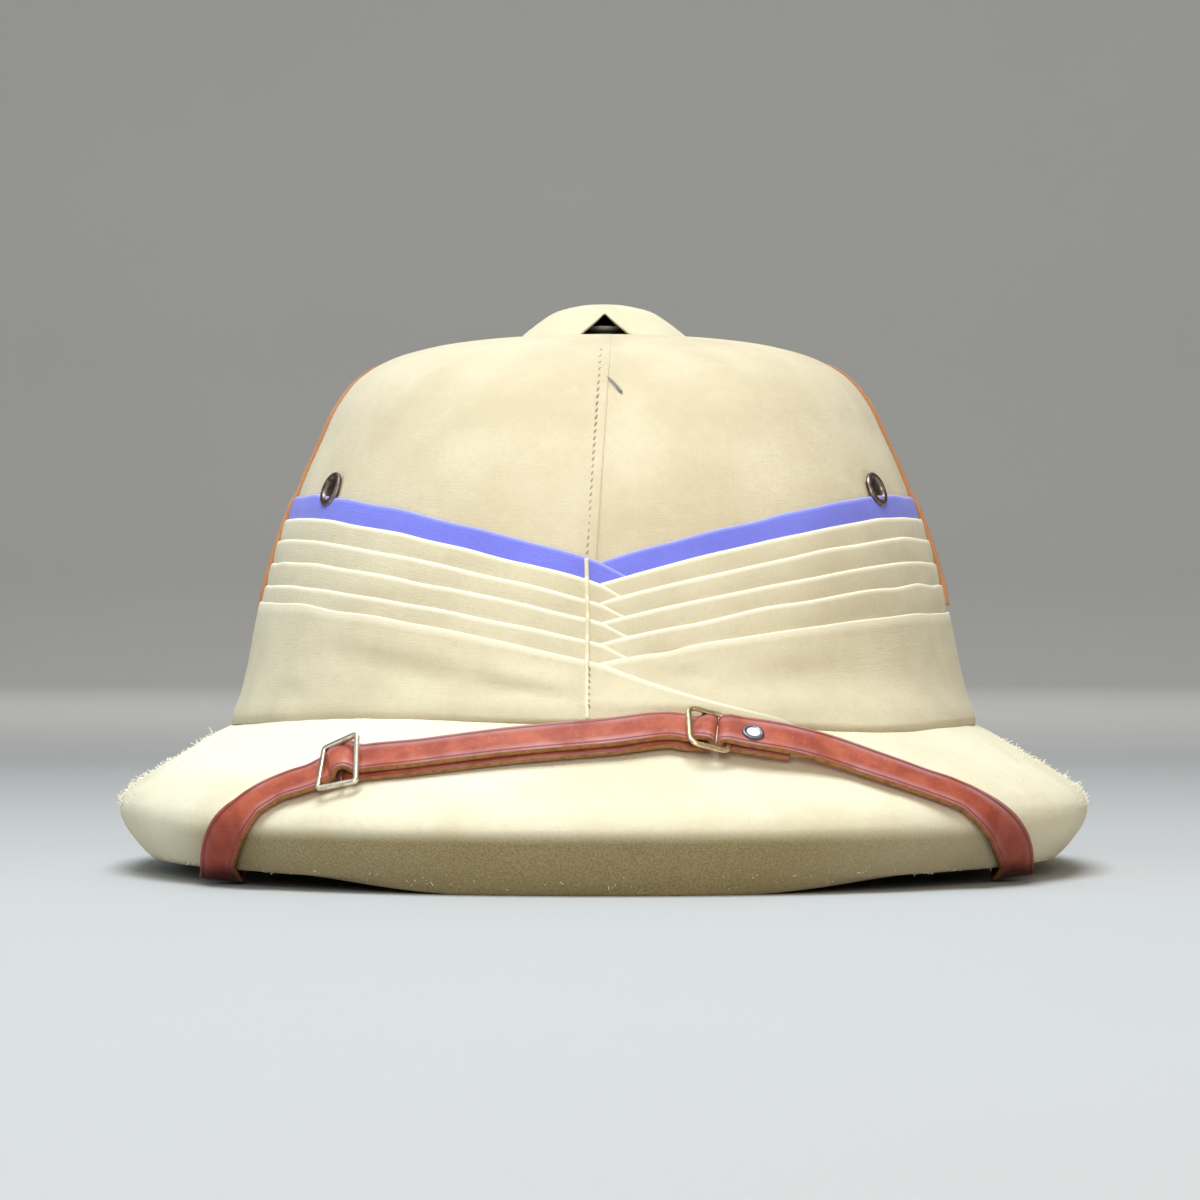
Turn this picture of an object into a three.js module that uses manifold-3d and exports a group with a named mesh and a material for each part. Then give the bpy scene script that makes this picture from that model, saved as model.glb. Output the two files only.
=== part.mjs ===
// A pith helmet: thick pith crown and brim, a wound cloth puggaree with a blue top fold, a covered
// ventilator cap, two vent eyelets, tan side bands, and a leather chin strap worn up over the brim.
// Millimetres, +Z up. The wearer faces -Y, and the helmet rests on the front and back of its brim at Z = 0.
import * as THREE from "three";
import { mergeVertices } from "three/addons/utils/BufferGeometryUtils.js";
import Module from "manifold-3d";

const wasm = await Module();
wasm.setup();

// Driving dimensions
const CROWN_CENTRE_Y = -3; // the back brim is longer, so the crown sits forward of the middle
const SECTION_COUNT = 52; // points round each oval section
const OVAL_POWER = 2.15; // 2 is an ellipse, more is squarer
const SHELL_WALL = 7; // pith and cover together
const GAP = 0.3; // clearance between pieces that touch on the real helmet
const VENT_HOLE_R = 9;

const COLOURS = {
  khaki: 0xd9c79a,
  blue: 0x6f6ad8,
  tan: 0xc9966c,
  leather: 0x8e3f2c,
  brass: 0xb08d57,
  zinc: 0x8f9480,
};

// Outer crown, from the flat top down to the joint with the brim.
// Lengths are measured from the crown's centre, to the front and to the back.
const CROWN_SECTIONS = [
  { z: 157, halfWidth: 28, halfFront: 28.5, halfBack: 28.5 },
  { z: 155.9, halfWidth: 39.3, halfFront: 41, halfBack: 41 },
  { z: 153.7, halfWidth: 52.6, halfFront: 56, halfBack: 56 },
  { z: 149.2, halfWidth: 66, halfFront: 72.5, halfBack: 73 },
  { z: 144.8, halfWidth: 72.6, halfFront: 81.5, halfBack: 82.5 },
  { z: 136, halfWidth: 79.3, halfFront: 91, halfBack: 92.5 },
  { z: 127, halfWidth: 83.5, halfFront: 97.5, halfBack: 99 },
  { z: 118, halfWidth: 87.6, halfFront: 103, halfBack: 104.5 },
  { z: 109, halfWidth: 91, halfFront: 107.5, halfBack: 108.5 },
  { z: 96, halfWidth: 94.2, halfFront: 112, halfBack: 112.5 },
  { z: 84, halfWidth: 96.2, halfFront: 115, halfBack: 115 },
  { z: 72, halfWidth: 98, halfFront: 117.2, halfBack: 117.2 },
  { z: 63, halfWidth: 99.6, halfFront: 119.2, halfBack: 119.2 },
  { z: 54, halfWidth: 101.8, halfFront: 122, halfBack: 122 },
];
const CROWN_FOOT = { halfWidth: 105, halfFront: 125, halfBack: 125, zSide: 45, zFront: 50.2, zBack: 46 };

// Brim, round its section: over the top, round the edge, under the flat foot and back to the head opening.
const BRIM_SECTIONS = [
  { halfWidth: 105, halfFront: 125, halfBack: 125, zSide: 45 - GAP, zFront: 50.2 - GAP, zBack: 46 - GAP },
  { halfWidth: 113.4, halfFront: 133.4, halfBack: 133.4, zSide: 40.8, zFront: 45.4, zBack: 42 },
  { halfWidth: 126, halfFront: 150, halfBack: 152, zSide: 33.2, zFront: 35.9, zBack: 34 },
  { halfWidth: 136, halfFront: 163.5, halfBack: 168, zSide: 27.2, zFront: 28.1, zBack: 27 },
  { halfWidth: 140.4, halfFront: 169.3, halfBack: 175, zSide: 24, zFront: 24.3, zBack: 23 },
  { halfWidth: 142.6, halfFront: 172.3, halfBack: 178.4, zSide: 20.8, zFront: 21, zBack: 19.8 },
  { halfWidth: 143, halfFront: 173, halfBack: 179, zSide: 17.6, zFront: 18, zBack: 16.6 },
  { halfWidth: 142, halfFront: 172, halfBack: 178, zSide: 14.2, zFront: 14.5, zBack: 13.2 },
  { halfWidth: 139, halfFront: 169, halfBack: 174.5, zSide: 9.8, zFront: 8.5, zBack: 7.8 },
  { halfWidth: 136, halfFront: 166, halfBack: 171, zSide: 6.3, zFront: 3.5, zBack: 3.3 },
  { halfWidth: 134, halfFront: 164, halfBack: 169, zFoot: true },
  { halfWidth: 130.5, halfFront: 160.5, halfBack: 165.5, zFoot: true },
  { halfWidth: 127, halfFront: 156.5, halfBack: 161, zSide: 7, zFront: 4, zBack: 4 },
  { halfWidth: 119, halfFront: 146, halfBack: 149, zSide: 16.5, zFront: 16, zBack: 15 },
  { halfWidth: 109, halfFront: 133, halfBack: 134, zSide: 25, zFront: 26, zBack: 24 },
  { halfWidth: 98, halfFront: 118, halfBack: 118, zSide: 30, zFront: 32, zBack: 29 },
  { halfWidth: 98, halfFront: 118, halfBack: 118, zSide: 45 - GAP, zFront: 50.2 - GAP, zBack: 46 - GAP },
];
// The brim's lower edge lifts off the table between its front and its back.
const FOOT = { riseAtSides: 4.4, flatHalfAngle: 12.5, fullRiseAngle: 34 };

// Puggaree folds, from the top down. Each lies over the one above it, and its top edge dips to a V in front.
const FOLDS = [
  { zSide: 103.4, zFront: 83.6, offset: 1.9 },
  { zSide: 97, zFront: 78.4, offset: 2.6 },
  { zSide: 90.4, zFront: 72.8, offset: 3.3 },
  { zSide: 83.6, zFront: 67.2, offset: 4 },
  { zSide: 77.2, zFront: 61.6, offset: 5 },
];
const FOLD_ROUND = 0.5; // height of the rounded edge of a fold
const V_SPREAD = 62; // degrees from the front at which a fold's edge runs level
const V_POWER = 1.9;
const PUGGAREE_FOOT = { offset: 5.6, liftAboveBrim: GAP };
const STRIPE = { zSide: 109.4, zFront: 89.3, offset: 1.2 }; // the blue fold above the others
// The puggaree's loose end, which slants down to the brim
const CLOTH_END = { startAngle: -1, endAngle: 20, columns: 8, thickness: 0.9, inset: 2.5, flareHeight: 6 };

const CAP = { rimR: 25.4, wall: 2, zRim: 157 + GAP };
const CAP_PROFILE = [
  { r: 0, z: 167.6 },
  { r: 7, z: 166.9 },
  { r: 14.5, z: 164.9 },
  { r: 18.4, z: 162.5 },
  { r: 21.4, z: 160.3 },
  { r: 24, z: 158.2 },
];
const CAP_NOTCH = { halfWidth: 6.7, height: 7.4 };
const COLLAR = {
  outerR: VENT_HOLE_R - GAP,
  innerR: 7.2,
  lipR: 11,
  topZ: 160.6,
  lipHeight: 1.2,
  bottomZ: 149,
};

const EYELET = { angle: 52.3, z: 110.4, flangeR: 5.3, boreR: 3.4, holeR: 2.7, seat: 1.5, lip: 1.1, depth: 9 };
const SIDE_BAND = { halfAngle: 6, columns: 5, thickness: 1.3, zTop: 149.2, zBottom: 78.2 };

const STRAP = { width: 12, thickness: 1.8 };
const BUCKLE = { length: 14, width: 16.6, bar: 1.4, thickness: 1.2, seat: 0.9 };
const RIGHT_BAR_AT = -0.3; // the right buckle's middle bar leaves room for two straps beside it
const RIVET = { headR: 3.1, headHeight: 0.7, shankR: 1.5, fromBuckle: 14, drop: 1.2 };
const STUD = { headR: 4, headHeight: 1.4, shankR: 1.6, depth: 5, fromEnd: 5 };

// The chin strap's way over the brim, from its left end inside the head opening to its right end.
// A row is a place on the brim's section, counted as in BRIM_SECTIONS, and lift is from there to mid leather.
const STRAP_ROUTE = [
  { angle: -56.5, row: 15.85, lift: 1.7 },
  { angle: -55, row: 15.15, lift: 3.4 },
  { angle: -52, row: 14, lift: 5 },
  { angle: -49, row: 12.2, lift: 3.1 },
  { angle: -47.3, row: 10.7, lift: 1.75 },
  { angle: -44.1, row: 9.66, lift: 2.4 },
  { angle: -41.4, row: 7.87, lift: 1.7 },
  { angle: -38.8, row: 6.61, lift: 1.6 },
  { angle: -36.6, row: 5.4, lift: 1.6 },
  { angle: -35.4, row: 4.33, lift: 1.6, lean: 1 },
  { angle: -32.8, row: 3.37, lift: 2.2, lean: 4 },
  { angle: -29.6, row: 3, lift: 2.95, lean: 6 },
  { angle: -26.7, row: 2.58, lift: 4.3, lean: 8, name: "left buckle" },
  { angle: -18.7, row: 2.23, lift: 4.2, lean: 5 },
  { angle: -9.3, row: 1.9, lift: 4.6, lean: 4.5 },
  { angle: 0.2, row: 1.7, lift: 4.8, lean: 4 },
  { angle: 7.3, row: 1.52, lift: 4.8, lean: 3 },
  { angle: 11, row: 1.7, lift: 4.8, lean: 4, name: "right buckle" },
  { angle: 16.3, row: 1.88, lift: 4.6, lean: 9 },
  { angle: 23.9, row: 2.19, lift: 3.85, lean: 12 },
  { angle: 28.8, row: 2.69, lift: 3.3, lean: 10.5 },
  { angle: 33.1, row: 3.25, lift: 2.5, lean: 7.4 },
  { angle: 36.7, row: 3.98, lift: 1.9, lean: 3.7 },
  { angle: 39.5, row: 5.32, lift: 1.6 },
  { angle: 43.1, row: 6.7, lift: 1.6 },
  { angle: 47, row: 8.01, lift: 1.8 },
  { angle: 51.8, row: 9.5, lift: 1.9 },
  { angle: 55, row: 10.6, lift: 1.95 },
  { angle: 56.6, row: 12.2, lift: 2.7 },
  { angle: 60, row: 14, lift: 5 },
  { angle: 63, row: 15.15, lift: 3.4 },
  { angle: 64.5, row: 15.85, lift: 1.7 },
];

const rad = THREE.MathUtils.degToRad;
const lerp = THREE.MathUtils.lerp;
const smooth = THREE.MathUtils.smoothstep;
const angles = Array.from({ length: SECTION_COUNT }, (_, i) => (i * 360) / SECTION_COUNT - 180);

// Ovals. An angle of 0 is the front of the helmet and 90 is +X.
function ovalRadius(angle, section) {
  const s = Math.abs(Math.sin(rad(angle)));
  const c = Math.cos(rad(angle));
  const length = c > 0 ? section.halfFront : section.halfBack;
  const sum = (s / section.halfWidth) ** OVAL_POWER + (Math.abs(c) / length) ** OVAL_POWER;
  return sum ** (-1 / OVAL_POWER);
}

function polar(angle, radius, z) {
  const a = rad(angle);
  return new THREE.Vector3(radius * Math.sin(a), CROWN_CENTRE_Y - radius * Math.cos(a), z);
}

function footHeight(angle) {
  const fromEnd = Math.min(Math.abs(angle), 180 - Math.abs(angle));
  return FOOT.riseAtSides * smooth(fromEnd, FOOT.flatHalfAngle, FOOT.fullRiseAngle);
}

function sectionHeight(angle, section) {
  if (section.zFoot) return footHeight(angle);
  if (section.z !== undefined) return section.z;
  const c = Math.cos(rad(angle));
  return lerp(section.zSide, c > 0 ? section.zFront : section.zBack, c * c);
}

const ring = (section) => angles.map((a) => polar(a, ovalRadius(a, section), sectionHeight(a, section)));

// The crown's outer radius at any height, and the height of its foot.
const crownFootZ = (angle) => sectionHeight(angle, CROWN_FOOT);

function crownRadius(angle, z) {
  let upper = CROWN_SECTIONS[0];
  for (const lower of [...CROWN_SECTIONS.slice(1), CROWN_FOOT]) {
    const zLower = sectionHeight(angle, lower);
    if (z >= zLower || lower === CROWN_FOOT) {
      const zUpper = sectionHeight(angle, upper);
      return lerp(ovalRadius(angle, lower), ovalRadius(angle, upper), (z - zLower) / (zUpper - zLower));
    }
    upper = lower;
  }
}

// Meshes
function geometryOf(points, triangles) {
  const geometry = new THREE.BufferGeometry().setFromPoints(points);
  geometry.setIndex(triangles);
  return geometry;
}

// A closed tube of rings, whose last ring joins the first, with each ring in the order of the angles.
function loftRings(rings) {
  const count = rings[0].length;
  const triangles = [];
  rings.forEach((_, r) => {
    const here = r * count;
    const next = ((r + 1) % rings.length) * count;
    for (let i = 0; i < count; i++) {
      const j = (i + 1) % count;
      triangles.push(here + i, next + i, here + j, here + j, next + i, next + j);
    }
  });
  return geometryOf(rings.flat(), triangles);
}

// A closed tube through sections of the same few corners, with a flat cap on each end.
function loftBar(sections) {
  const corners = sections[0].length;
  const triangles = [];
  for (let s = 0; s + 1 < sections.length; s++)
    for (let i = 0; i < corners; i++) {
      const a = s * corners + i;
      const b = s * corners + ((i + 1) % corners);
      triangles.push(a, b, a + corners, b, b + corners, a + corners);
    }
  const last = (sections.length - 1) * corners;
  for (let i = 1; i + 1 < corners; i++) triangles.push(0, i + 1, i, last, last + i, last + i + 1);
  return geometryOf(sections.flat(), triangles);
}

// A sheet between an inner and an outer grid of points, rows from the top down and columns by rising angle.
function loftSheet(inner, outer) {
  const rows = inner.length;
  const columns = inner[0].length;
  const out = (r, c) => r * columns + c;
  const back = (r, c) => (rows + r) * columns + c;
  const triangles = [];
  const quad = (a, b, c, d) => triangles.push(a, b, c, c, b, d);
  for (let r = 0; r + 1 < rows; r++) {
    for (let c = 0; c + 1 < columns; c++) {
      quad(out(r, c), out(r + 1, c), out(r, c + 1), out(r + 1, c + 1));
      quad(back(r, c), back(r, c + 1), back(r + 1, c), back(r + 1, c + 1));
    }
    quad(back(r, 0), back(r + 1, 0), out(r, 0), out(r + 1, 0));
    quad(out(r, columns - 1), out(r + 1, columns - 1), back(r, columns - 1), back(r + 1, columns - 1));
  }
  for (let c = 0; c + 1 < columns; c++) {
    quad(back(0, c), out(0, c), back(0, c + 1), out(0, c + 1));
    quad(out(rows - 1, c), back(rows - 1, c), out(rows - 1, c + 1), back(rows - 1, c + 1));
  }
  return geometryOf([...outer.flat(), ...inner.flat()], triangles);
}

function solidOf(geometry) {
  const bare = new THREE.BufferGeometry().setAttribute("position", geometry.getAttribute("position"));
  bare.setIndex(geometry.index);
  const merged = mergeVertices(bare, 1e-3);
  return new wasm.Manifold(
    new wasm.Mesh({
      numProp: 3,
      vertProperties: merged.attributes.position.array,
      triVerts: new Uint32Array(merged.index.array),
    }),
  );
}

function cut(geometry, ...cutters) {
  const solid = cutters.reduce((rest, cutter) => rest.subtract(solidOf(cutter)), solidOf(geometry));
  const mesh = solid.getMesh();
  const made = new THREE.BufferGeometry();
  made.setAttribute("position", new THREE.BufferAttribute(mesh.vertProperties, 3));
  made.setIndex(new THREE.BufferAttribute(mesh.triVerts, 1));
  return made;
}

function lathe(profile, segments) {
  const points = profile.map((p) => new THREE.Vector2(p.r, p.z));
  return new THREE.LatheGeometry(points, segments).rotateX(Math.PI / 2);
}

function cylinder(radius, length, segments) {
  return new THREE.CylinderGeometry(radius, radius, length, segments).rotateX(Math.PI / 2);
}

// Turns a shape built about +Z so that +Z points along an axis, and moves it to a point.
function placed(geometry, point, axis) {
  const turn = new THREE.Quaternion().setFromUnitVectors(new THREE.Vector3(0, 0, 1), axis);
  return geometry.applyQuaternion(turn).translate(point.x, point.y, point.z);
}

const helmet = new THREE.Group();

function add(name, geometry, colour, roughness = 0.9, metalness = 0) {
  const material = new THREE.MeshStandardMaterial({ color: colour, roughness, metalness });
  const mesh = new THREE.Mesh(geometry, material);
  mesh.name = name;
  helmet.add(mesh);
}

// Eyelets, set through the crown wall beside the front
function eyeletPlace(side) {
  const angle = side * EYELET.angle;
  const point = polar(angle, crownRadius(angle, EYELET.z), EYELET.z);
  const along = polar(angle + 1, crownRadius(angle + 1, EYELET.z), EYELET.z).sub(point);
  const up = polar(angle, crownRadius(angle, EYELET.z + 1), EYELET.z + 1).sub(point);
  return { point, axis: along.cross(up).normalize() };
}

function eyelet(side) {
  const { point, axis } = eyeletPlace(side);
  const top = EYELET.seat + EYELET.lip;
  const profile = [
    { r: EYELET.holeR, z: -EYELET.depth },
    { r: EYELET.boreR - GAP, z: -EYELET.depth },
    { r: EYELET.boreR - GAP, z: EYELET.seat },
    { r: EYELET.flangeR, z: EYELET.seat },
    { r: EYELET.flangeR - 0.4, z: top - 0.2 },
    { r: EYELET.boreR + 0.6, z: top },
    { r: EYELET.holeR, z: top - 0.4 },
    { r: EYELET.holeR, z: -EYELET.depth },
  ];
  return placed(lathe(profile, 16), point, axis);
}

function eyeletDrill(side) {
  const { point, axis } = eyeletPlace(side);
  return placed(cylinder(EYELET.boreR, 4 * EYELET.depth, 16), point, axis);
}

// Crown
function crown() {
  const outer = [...CROWN_SECTIONS, CROWN_FOOT];
  const inward = (s) => ({
    ...s,
    halfWidth: s.halfWidth - SHELL_WALL,
    halfFront: s.halfFront - SHELL_WALL,
    halfBack: s.halfBack - SHELL_WALL,
  });
  const topZ = CROWN_SECTIONS[0].z;
  const innerRows = CROWN_SECTIONS.filter((s) => s.halfWidth > 50 && s.z !== 63 && s.z !== 84 && s.z !== 136);
  const inner = innerRows.map((s) => ({ ...inward(s), z: s.z - SHELL_WALL * (s.z / topZ) ** 4 }));
  const hole = { halfWidth: VENT_HOLE_R, halfFront: VENT_HOLE_R, halfBack: VENT_HOLE_R };
  const rings = [
    { ...hole, z: topZ },
    ...outer,
    inward(CROWN_FOOT),
    ...inner.reverse(),
    { ...hole, z: topZ - SHELL_WALL },
  ].map(ring);
  return cut(loftRings(rings), eyeletDrill(-1), eyeletDrill(1));
}

// Brim
function brim() {
  const drills = [STUD.fromEnd, strapLength - STUD.fromEnd].map(studDrill);
  return cut(loftRings(BRIM_SECTIONS.map(ring)), ...drills);
}

// Puggaree: rings of cloth on the crown, at an offset from it
const vDip = (angle) => Math.max(0, 1 - Math.abs(angle) / V_SPREAD) ** V_POWER;
const edgeHeight = (angle, fold) => lerp(fold.zSide, fold.zFront, vDip(angle));
const clothPoint = (angle, z, offset) => polar(angle, crownRadius(angle, z) + offset, z);
const clothRing = (heightAt, offset) => angles.map((a) => clothPoint(a, heightAt(a), offset));

function brimTopZ(angle, radius) {
  const [joint, collar, slope] = BRIM_SECTIONS;
  const [inner, outer] = radius < ovalRadius(angle, collar) ? [joint, collar] : [collar, slope];
  const share = (radius - ovalRadius(angle, inner)) / (ovalRadius(angle, outer) - ovalRadius(angle, inner));
  return lerp(sectionHeight(angle, inner), sectionHeight(angle, outer), share);
}

function puggareeFoot(angle, offset) {
  const radius = ovalRadius(angle, CROWN_FOOT) + offset;
  return polar(angle, radius, brimTopZ(angle, radius) + PUGGAREE_FOOT.liftAboveBrim);
}

function puggaree() {
  const rings = [];
  FOLDS.forEach((fold, i) => {
    const under = i === 0 ? GAP : FOLDS[i - 1].offset;
    rings.push(clothRing((a) => edgeHeight(a, fold), under));
    rings.push(clothRing((a) => edgeHeight(a, fold) - FOLD_ROUND, fold.offset));
  });
  const wrap = FOLDS.at(-1);
  const lowest = (share) => (a) => lerp(edgeHeight(a, wrap), crownFootZ(a), share);
  rings.push(clothRing(lowest(0.35), wrap.offset));
  rings.push(clothRing(lowest(0.7), wrap.offset));
  rings.push(angles.map((a) => puggareeFoot(a, PUGGAREE_FOOT.offset)));
  rings.push(angles.map((a) => puggareeFoot(a, GAP)));
  rings.push(clothRing(lowest(0.7), GAP));
  rings.push(clothRing(lowest(0.35), GAP));
  for (const fold of FOLDS.slice(1).reverse()) rings.push(clothRing((a) => edgeHeight(a, fold), GAP));
  return loftRings(rings);
}

function stripe() {
  const top = (a) => edgeHeight(a, STRIPE);
  const bottom = (a) => edgeHeight(a, FOLDS[0]) + GAP;
  const rings = [
    clothRing(top, GAP),
    clothRing((a) => top(a) - FOLD_ROUND, STRIPE.offset),
    clothRing(bottom, STRIPE.offset),
    clothRing(bottom, GAP),
  ];
  return cut(loftRings(rings), eyeletDrill(-1), eyeletDrill(1));
}

// The loose end crosses the front from the left and slants down to the brim on the right.
function clothEnd() {
  const wrap = FOLDS.at(-1);
  const { startAngle, endAngle, columns, thickness, inset } = CLOTH_END;
  const shares = Array.from({ length: columns }, (_, i) => i / (columns - 1));
  const rows = [0, 0.5, 1].map((down) =>
    shares.map((share) => {
      const a = lerp(startAngle, endAngle, share);
      const top = lerp(wrap.zFront - inset, crownFootZ(a) + inset, share);
      const foot = puggareeFoot(a, PUGGAREE_FOOT.offset + thickness).z + 2 * GAP;
      return { a, z: lerp(top, foot, down) };
    }),
  );
  const spread = PUGGAREE_FOOT.offset - wrap.offset;
  const flare = (a, z) => spread * (1 - smooth(z - crownFootZ(a), 0, CLOTH_END.flareHeight));
  const place = ({ a, z }, extra) => clothPoint(a, z, wrap.offset + flare(a, z) + extra);
  const grid = (extra) => rows.map((row) => row.map((p) => place(p, extra)));
  return loftSheet(grid(2 * GAP), grid(2 * GAP + thickness));
}

// Tan band down each side of the crown, over the folds
function sideBand(side) {
  const bare = CROWN_SECTIONS.filter((s) => s.z <= SIDE_BAND.zTop && s.z > STRIPE.zSide + 2);
  const heights = [
    ...bare.map((s) => ({ z: s.z, offset: 0 })),
    { z: STRIPE.zSide + 1.5, offset: 0.4 },
    { z: STRIPE.zSide, offset: STRIPE.offset },
    ...FOLDS.slice(0, -1).map((f) => ({ z: f.zSide, offset: f.offset })),
    { z: SIDE_BAND.zBottom, offset: FOLDS.at(-2).offset },
  ];
  const columns = Array.from({ length: SIDE_BAND.columns }, (_, i) =>
    side * (90 + side * SIDE_BAND.halfAngle * ((2 * i) / (SIDE_BAND.columns - 1) - 1)),
  );
  const row = (h, extra) => columns.map((a) => clothPoint(a, h.z, h.offset + 2 * GAP + extra));
  const grid = (extra) => heights.map((h) => row(h, extra));
  return loftSheet(grid(0), grid(SIDE_BAND.thickness));
}

// Ventilator: a covered dome with a peaked opening in front, over a metal collar in the crown's vent hole
function ventilatorCap() {
  const outer = [...CAP_PROFILE, { r: CAP.rimR, z: CAP.zRim }];
  const inner = [...outer].reverse().map((p) => ({
    r: Math.max(0, p.r - CAP.wall),
    z: p.z === CAP.zRim ? CAP.zRim : p.z - CAP.wall * (p.r < 20 ? 1 : 0.5),
  }));
  const peak = new THREE.Shape([
    new THREE.Vector2(-CAP_NOTCH.halfWidth, -1),
    new THREE.Vector2(CAP_NOTCH.halfWidth, -1),
    new THREE.Vector2(0, CAP_NOTCH.height),
  ]);
  const notch = new THREE.ExtrudeGeometry(peak, { depth: CAP.rimR + 2, bevelEnabled: false });
  notch.rotateX(Math.PI / 2).translate(0, 0, CAP.zRim);
  return cut(lathe([...outer, ...inner].reverse(), 28), notch).translate(0, CROWN_CENTRE_Y, 0);
}

function ventilatorCollar() {
  const profile = [
    { r: COLLAR.innerR, z: COLLAR.bottomZ },
    { r: COLLAR.outerR, z: COLLAR.bottomZ },
    { r: COLLAR.outerR, z: CAP.zRim },
    { r: COLLAR.lipR, z: CAP.zRim },
    { r: COLLAR.lipR, z: CAP.zRim + COLLAR.lipHeight },
    { r: COLLAR.outerR, z: COLLAR.topZ },
    { r: COLLAR.innerR, z: COLLAR.topZ },
    { r: COLLAR.innerR, z: COLLAR.bottomZ },
  ];
  return lathe(profile, 18).translate(0, CROWN_CENTRE_Y, 0);
}

// Chin strap. Its line runs along the brim, and a place is a distance along it and a height above it.
function brimPoint(angle, row) {
  const first = Math.min(Math.floor(row), BRIM_SECTIONS.length - 2);
  const onSection = (s) => polar(angle, ovalRadius(angle, s), sectionHeight(angle, s));
  return onSection(BRIM_SECTIONS[first]).lerp(onSection(BRIM_SECTIONS[first + 1]), row - first);
}

const NORMAL_REACH = 0.4; // in rows, and in degrees

function brimNormal(angle, row) {
  const rowAfter = Math.min(row + NORMAL_REACH, BRIM_SECTIONS.length - 1);
  const along = brimPoint(angle + NORMAL_REACH, row).sub(brimPoint(angle - NORMAL_REACH, row));
  const across = brimPoint(angle, row - NORMAL_REACH).sub(brimPoint(angle, rowAfter));
  return along.cross(across).normalize();
}

const stations = STRAP_ROUTE.map(({ angle, row, lift, lean = 0 }) => {
  const normal = brimNormal(angle, row);
  return { point: brimPoint(angle, row).addScaledVector(normal, lift), normal, lean };
});
const strapCurve = new THREE.CatmullRomCurve3(stations.map((s) => s.point));
strapCurve.arcLengthDivisions = 2000;
const strapLength = strapCurve.getLength();

function strapPlace(distance, height = 0, drop = 0) {
  const share = strapCurve.getUtoTmapping(distance / strapLength);
  const station = share * (stations.length - 1);
  const i = Math.min(Math.floor(station), stations.length - 2);
  const [here, next] = stations.slice(i, i + 2);
  const along = strapCurve.getTangent(share);
  const across = here.normal.clone().lerp(next.normal, station - i).cross(along).normalize();
  across.applyAxisAngle(along, rad(lerp(here.lean, next.lean, station - i)));
  const up = along.clone().cross(across);
  const point = strapCurve.getPoint(share).addScaledVector(up, height).addScaledVector(across, -drop);
  return { point, along, across, up };
}

function distanceOf(name) {
  const i = STRAP_ROUTE.findIndex((s) => s.name === name);
  const lengths = strapCurve.getLengths();
  return lengths[Math.round((i / (stations.length - 1)) * strapCurve.arcLengthDivisions)];
}

const leftBuckleAt = distanceOf("left buckle");
const rightBuckleAt = distanceOf("right buckle");

// A flat band of leather along a list of places
function leatherBand(places) {
  const sections = places.map(({ point, across }, i) => {
    const before = places[Math.max(0, i - 1)].point;
    const after = places[Math.min(places.length - 1, i + 1)].point;
    const face = after.clone().sub(before).cross(across).normalize().multiplyScalar(STRAP.thickness / 2);
    const half = across.clone().multiplyScalar(STRAP.width / 2);
    return [
      point.clone().sub(half).sub(face),
      point.clone().add(half).sub(face),
      point.clone().add(half).add(face),
      point.clone().sub(half).add(face),
    ];
  });
  return loftBar(sections);
}

function run(from, to, step, height = 0, drop = 0) {
  const count = Math.max(1, Math.round(Math.abs(to - from) / step));
  return Array.from({ length: count + 1 }, (_, i) => strapPlace(lerp(from, to, i / count), height, drop));
}

function bend(centre, table) {
  return table.map(([along, height, drop]) => strapPlace(centre + along, height, drop));
}

// Distance along from a buckle's middle, and height of mid leather, where it climbs over the middle bar
const CLIMB = [[-4.5, 0], [-3.78, 0.5], [-3.12, 1.9], [-2.45, 3.5], [-1.4, 4.35]];
const CLIMB_DOWN = CLIMB.map(([along, height]) => [-along, height]).reverse();
const LAYER = STRAP.thickness + GAP;

// The left strap goes over the left buckle's bar, doubles back round the right one's and ends behind itself.
const DOUBLE_BACK = [
  [-4.55, -0.1],
  [-3.9, 0.35],
  [-3.35, 1.7],
  [-2.85, 3.3],
  [-2.05, 4.55],
  [-0.9, 4.9],
  [0.3, 4.75],
  [1.25, 3.7],
  [1.65, 2.3],
  [1.5, 0.9],
  [0.8, -0.5],
  [-0.3, -1.6],
  [-1.9, -LAYER],
];
const REAR_END = 4.5; // from the left buckle's middle

function leftStrap() {
  const band = leatherBand([
    ...run(0, leftBuckleAt - 8, 4),
    ...bend(leftBuckleAt, CLIMB),
    ...bend(leftBuckleAt, CLIMB_DOWN),
    ...run(leftBuckleAt + 8, rightBuckleAt - 8, 7),
    ...bend(rightBuckleAt, DOUBLE_BACK),
    ...run(rightBuckleAt - 4, leftBuckleAt + REAR_END, 7, -LAYER),
  ]);
  return cut(band, studDrill(STUD.fromEnd));
}

// The right strap's end folds round the right buckle's far bar, and a rivet holds its tail.
const FOLD_OVER = [
  [6.7, -0.9],
  [5.5, -0.7],
  [4.5, 0.2],
  [3.95, 1.7],
  [4.1, 3.3],
  [4.9, 4.4],
  [6.5, 4.6],
  [7.9, 4],
  [9.1, 2.9],
  [10.1, 2.2],
];
const TAIL_END = 22;
const TAIL_HEIGHT = -0.9;
const PAST_TAIL = [[0, 1.9], [6, 1.3], [12, 0.65], [18, 0.2]]; // where the strap comes down past its tail

function rivetDrill(radius) {
  const { point, up } = strapPlace(rightBuckleAt + RIVET.fromBuckle, LAYER / 2, RIVET.drop);
  return placed(cylinder(radius, 20, 12), point, up);
}

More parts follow.
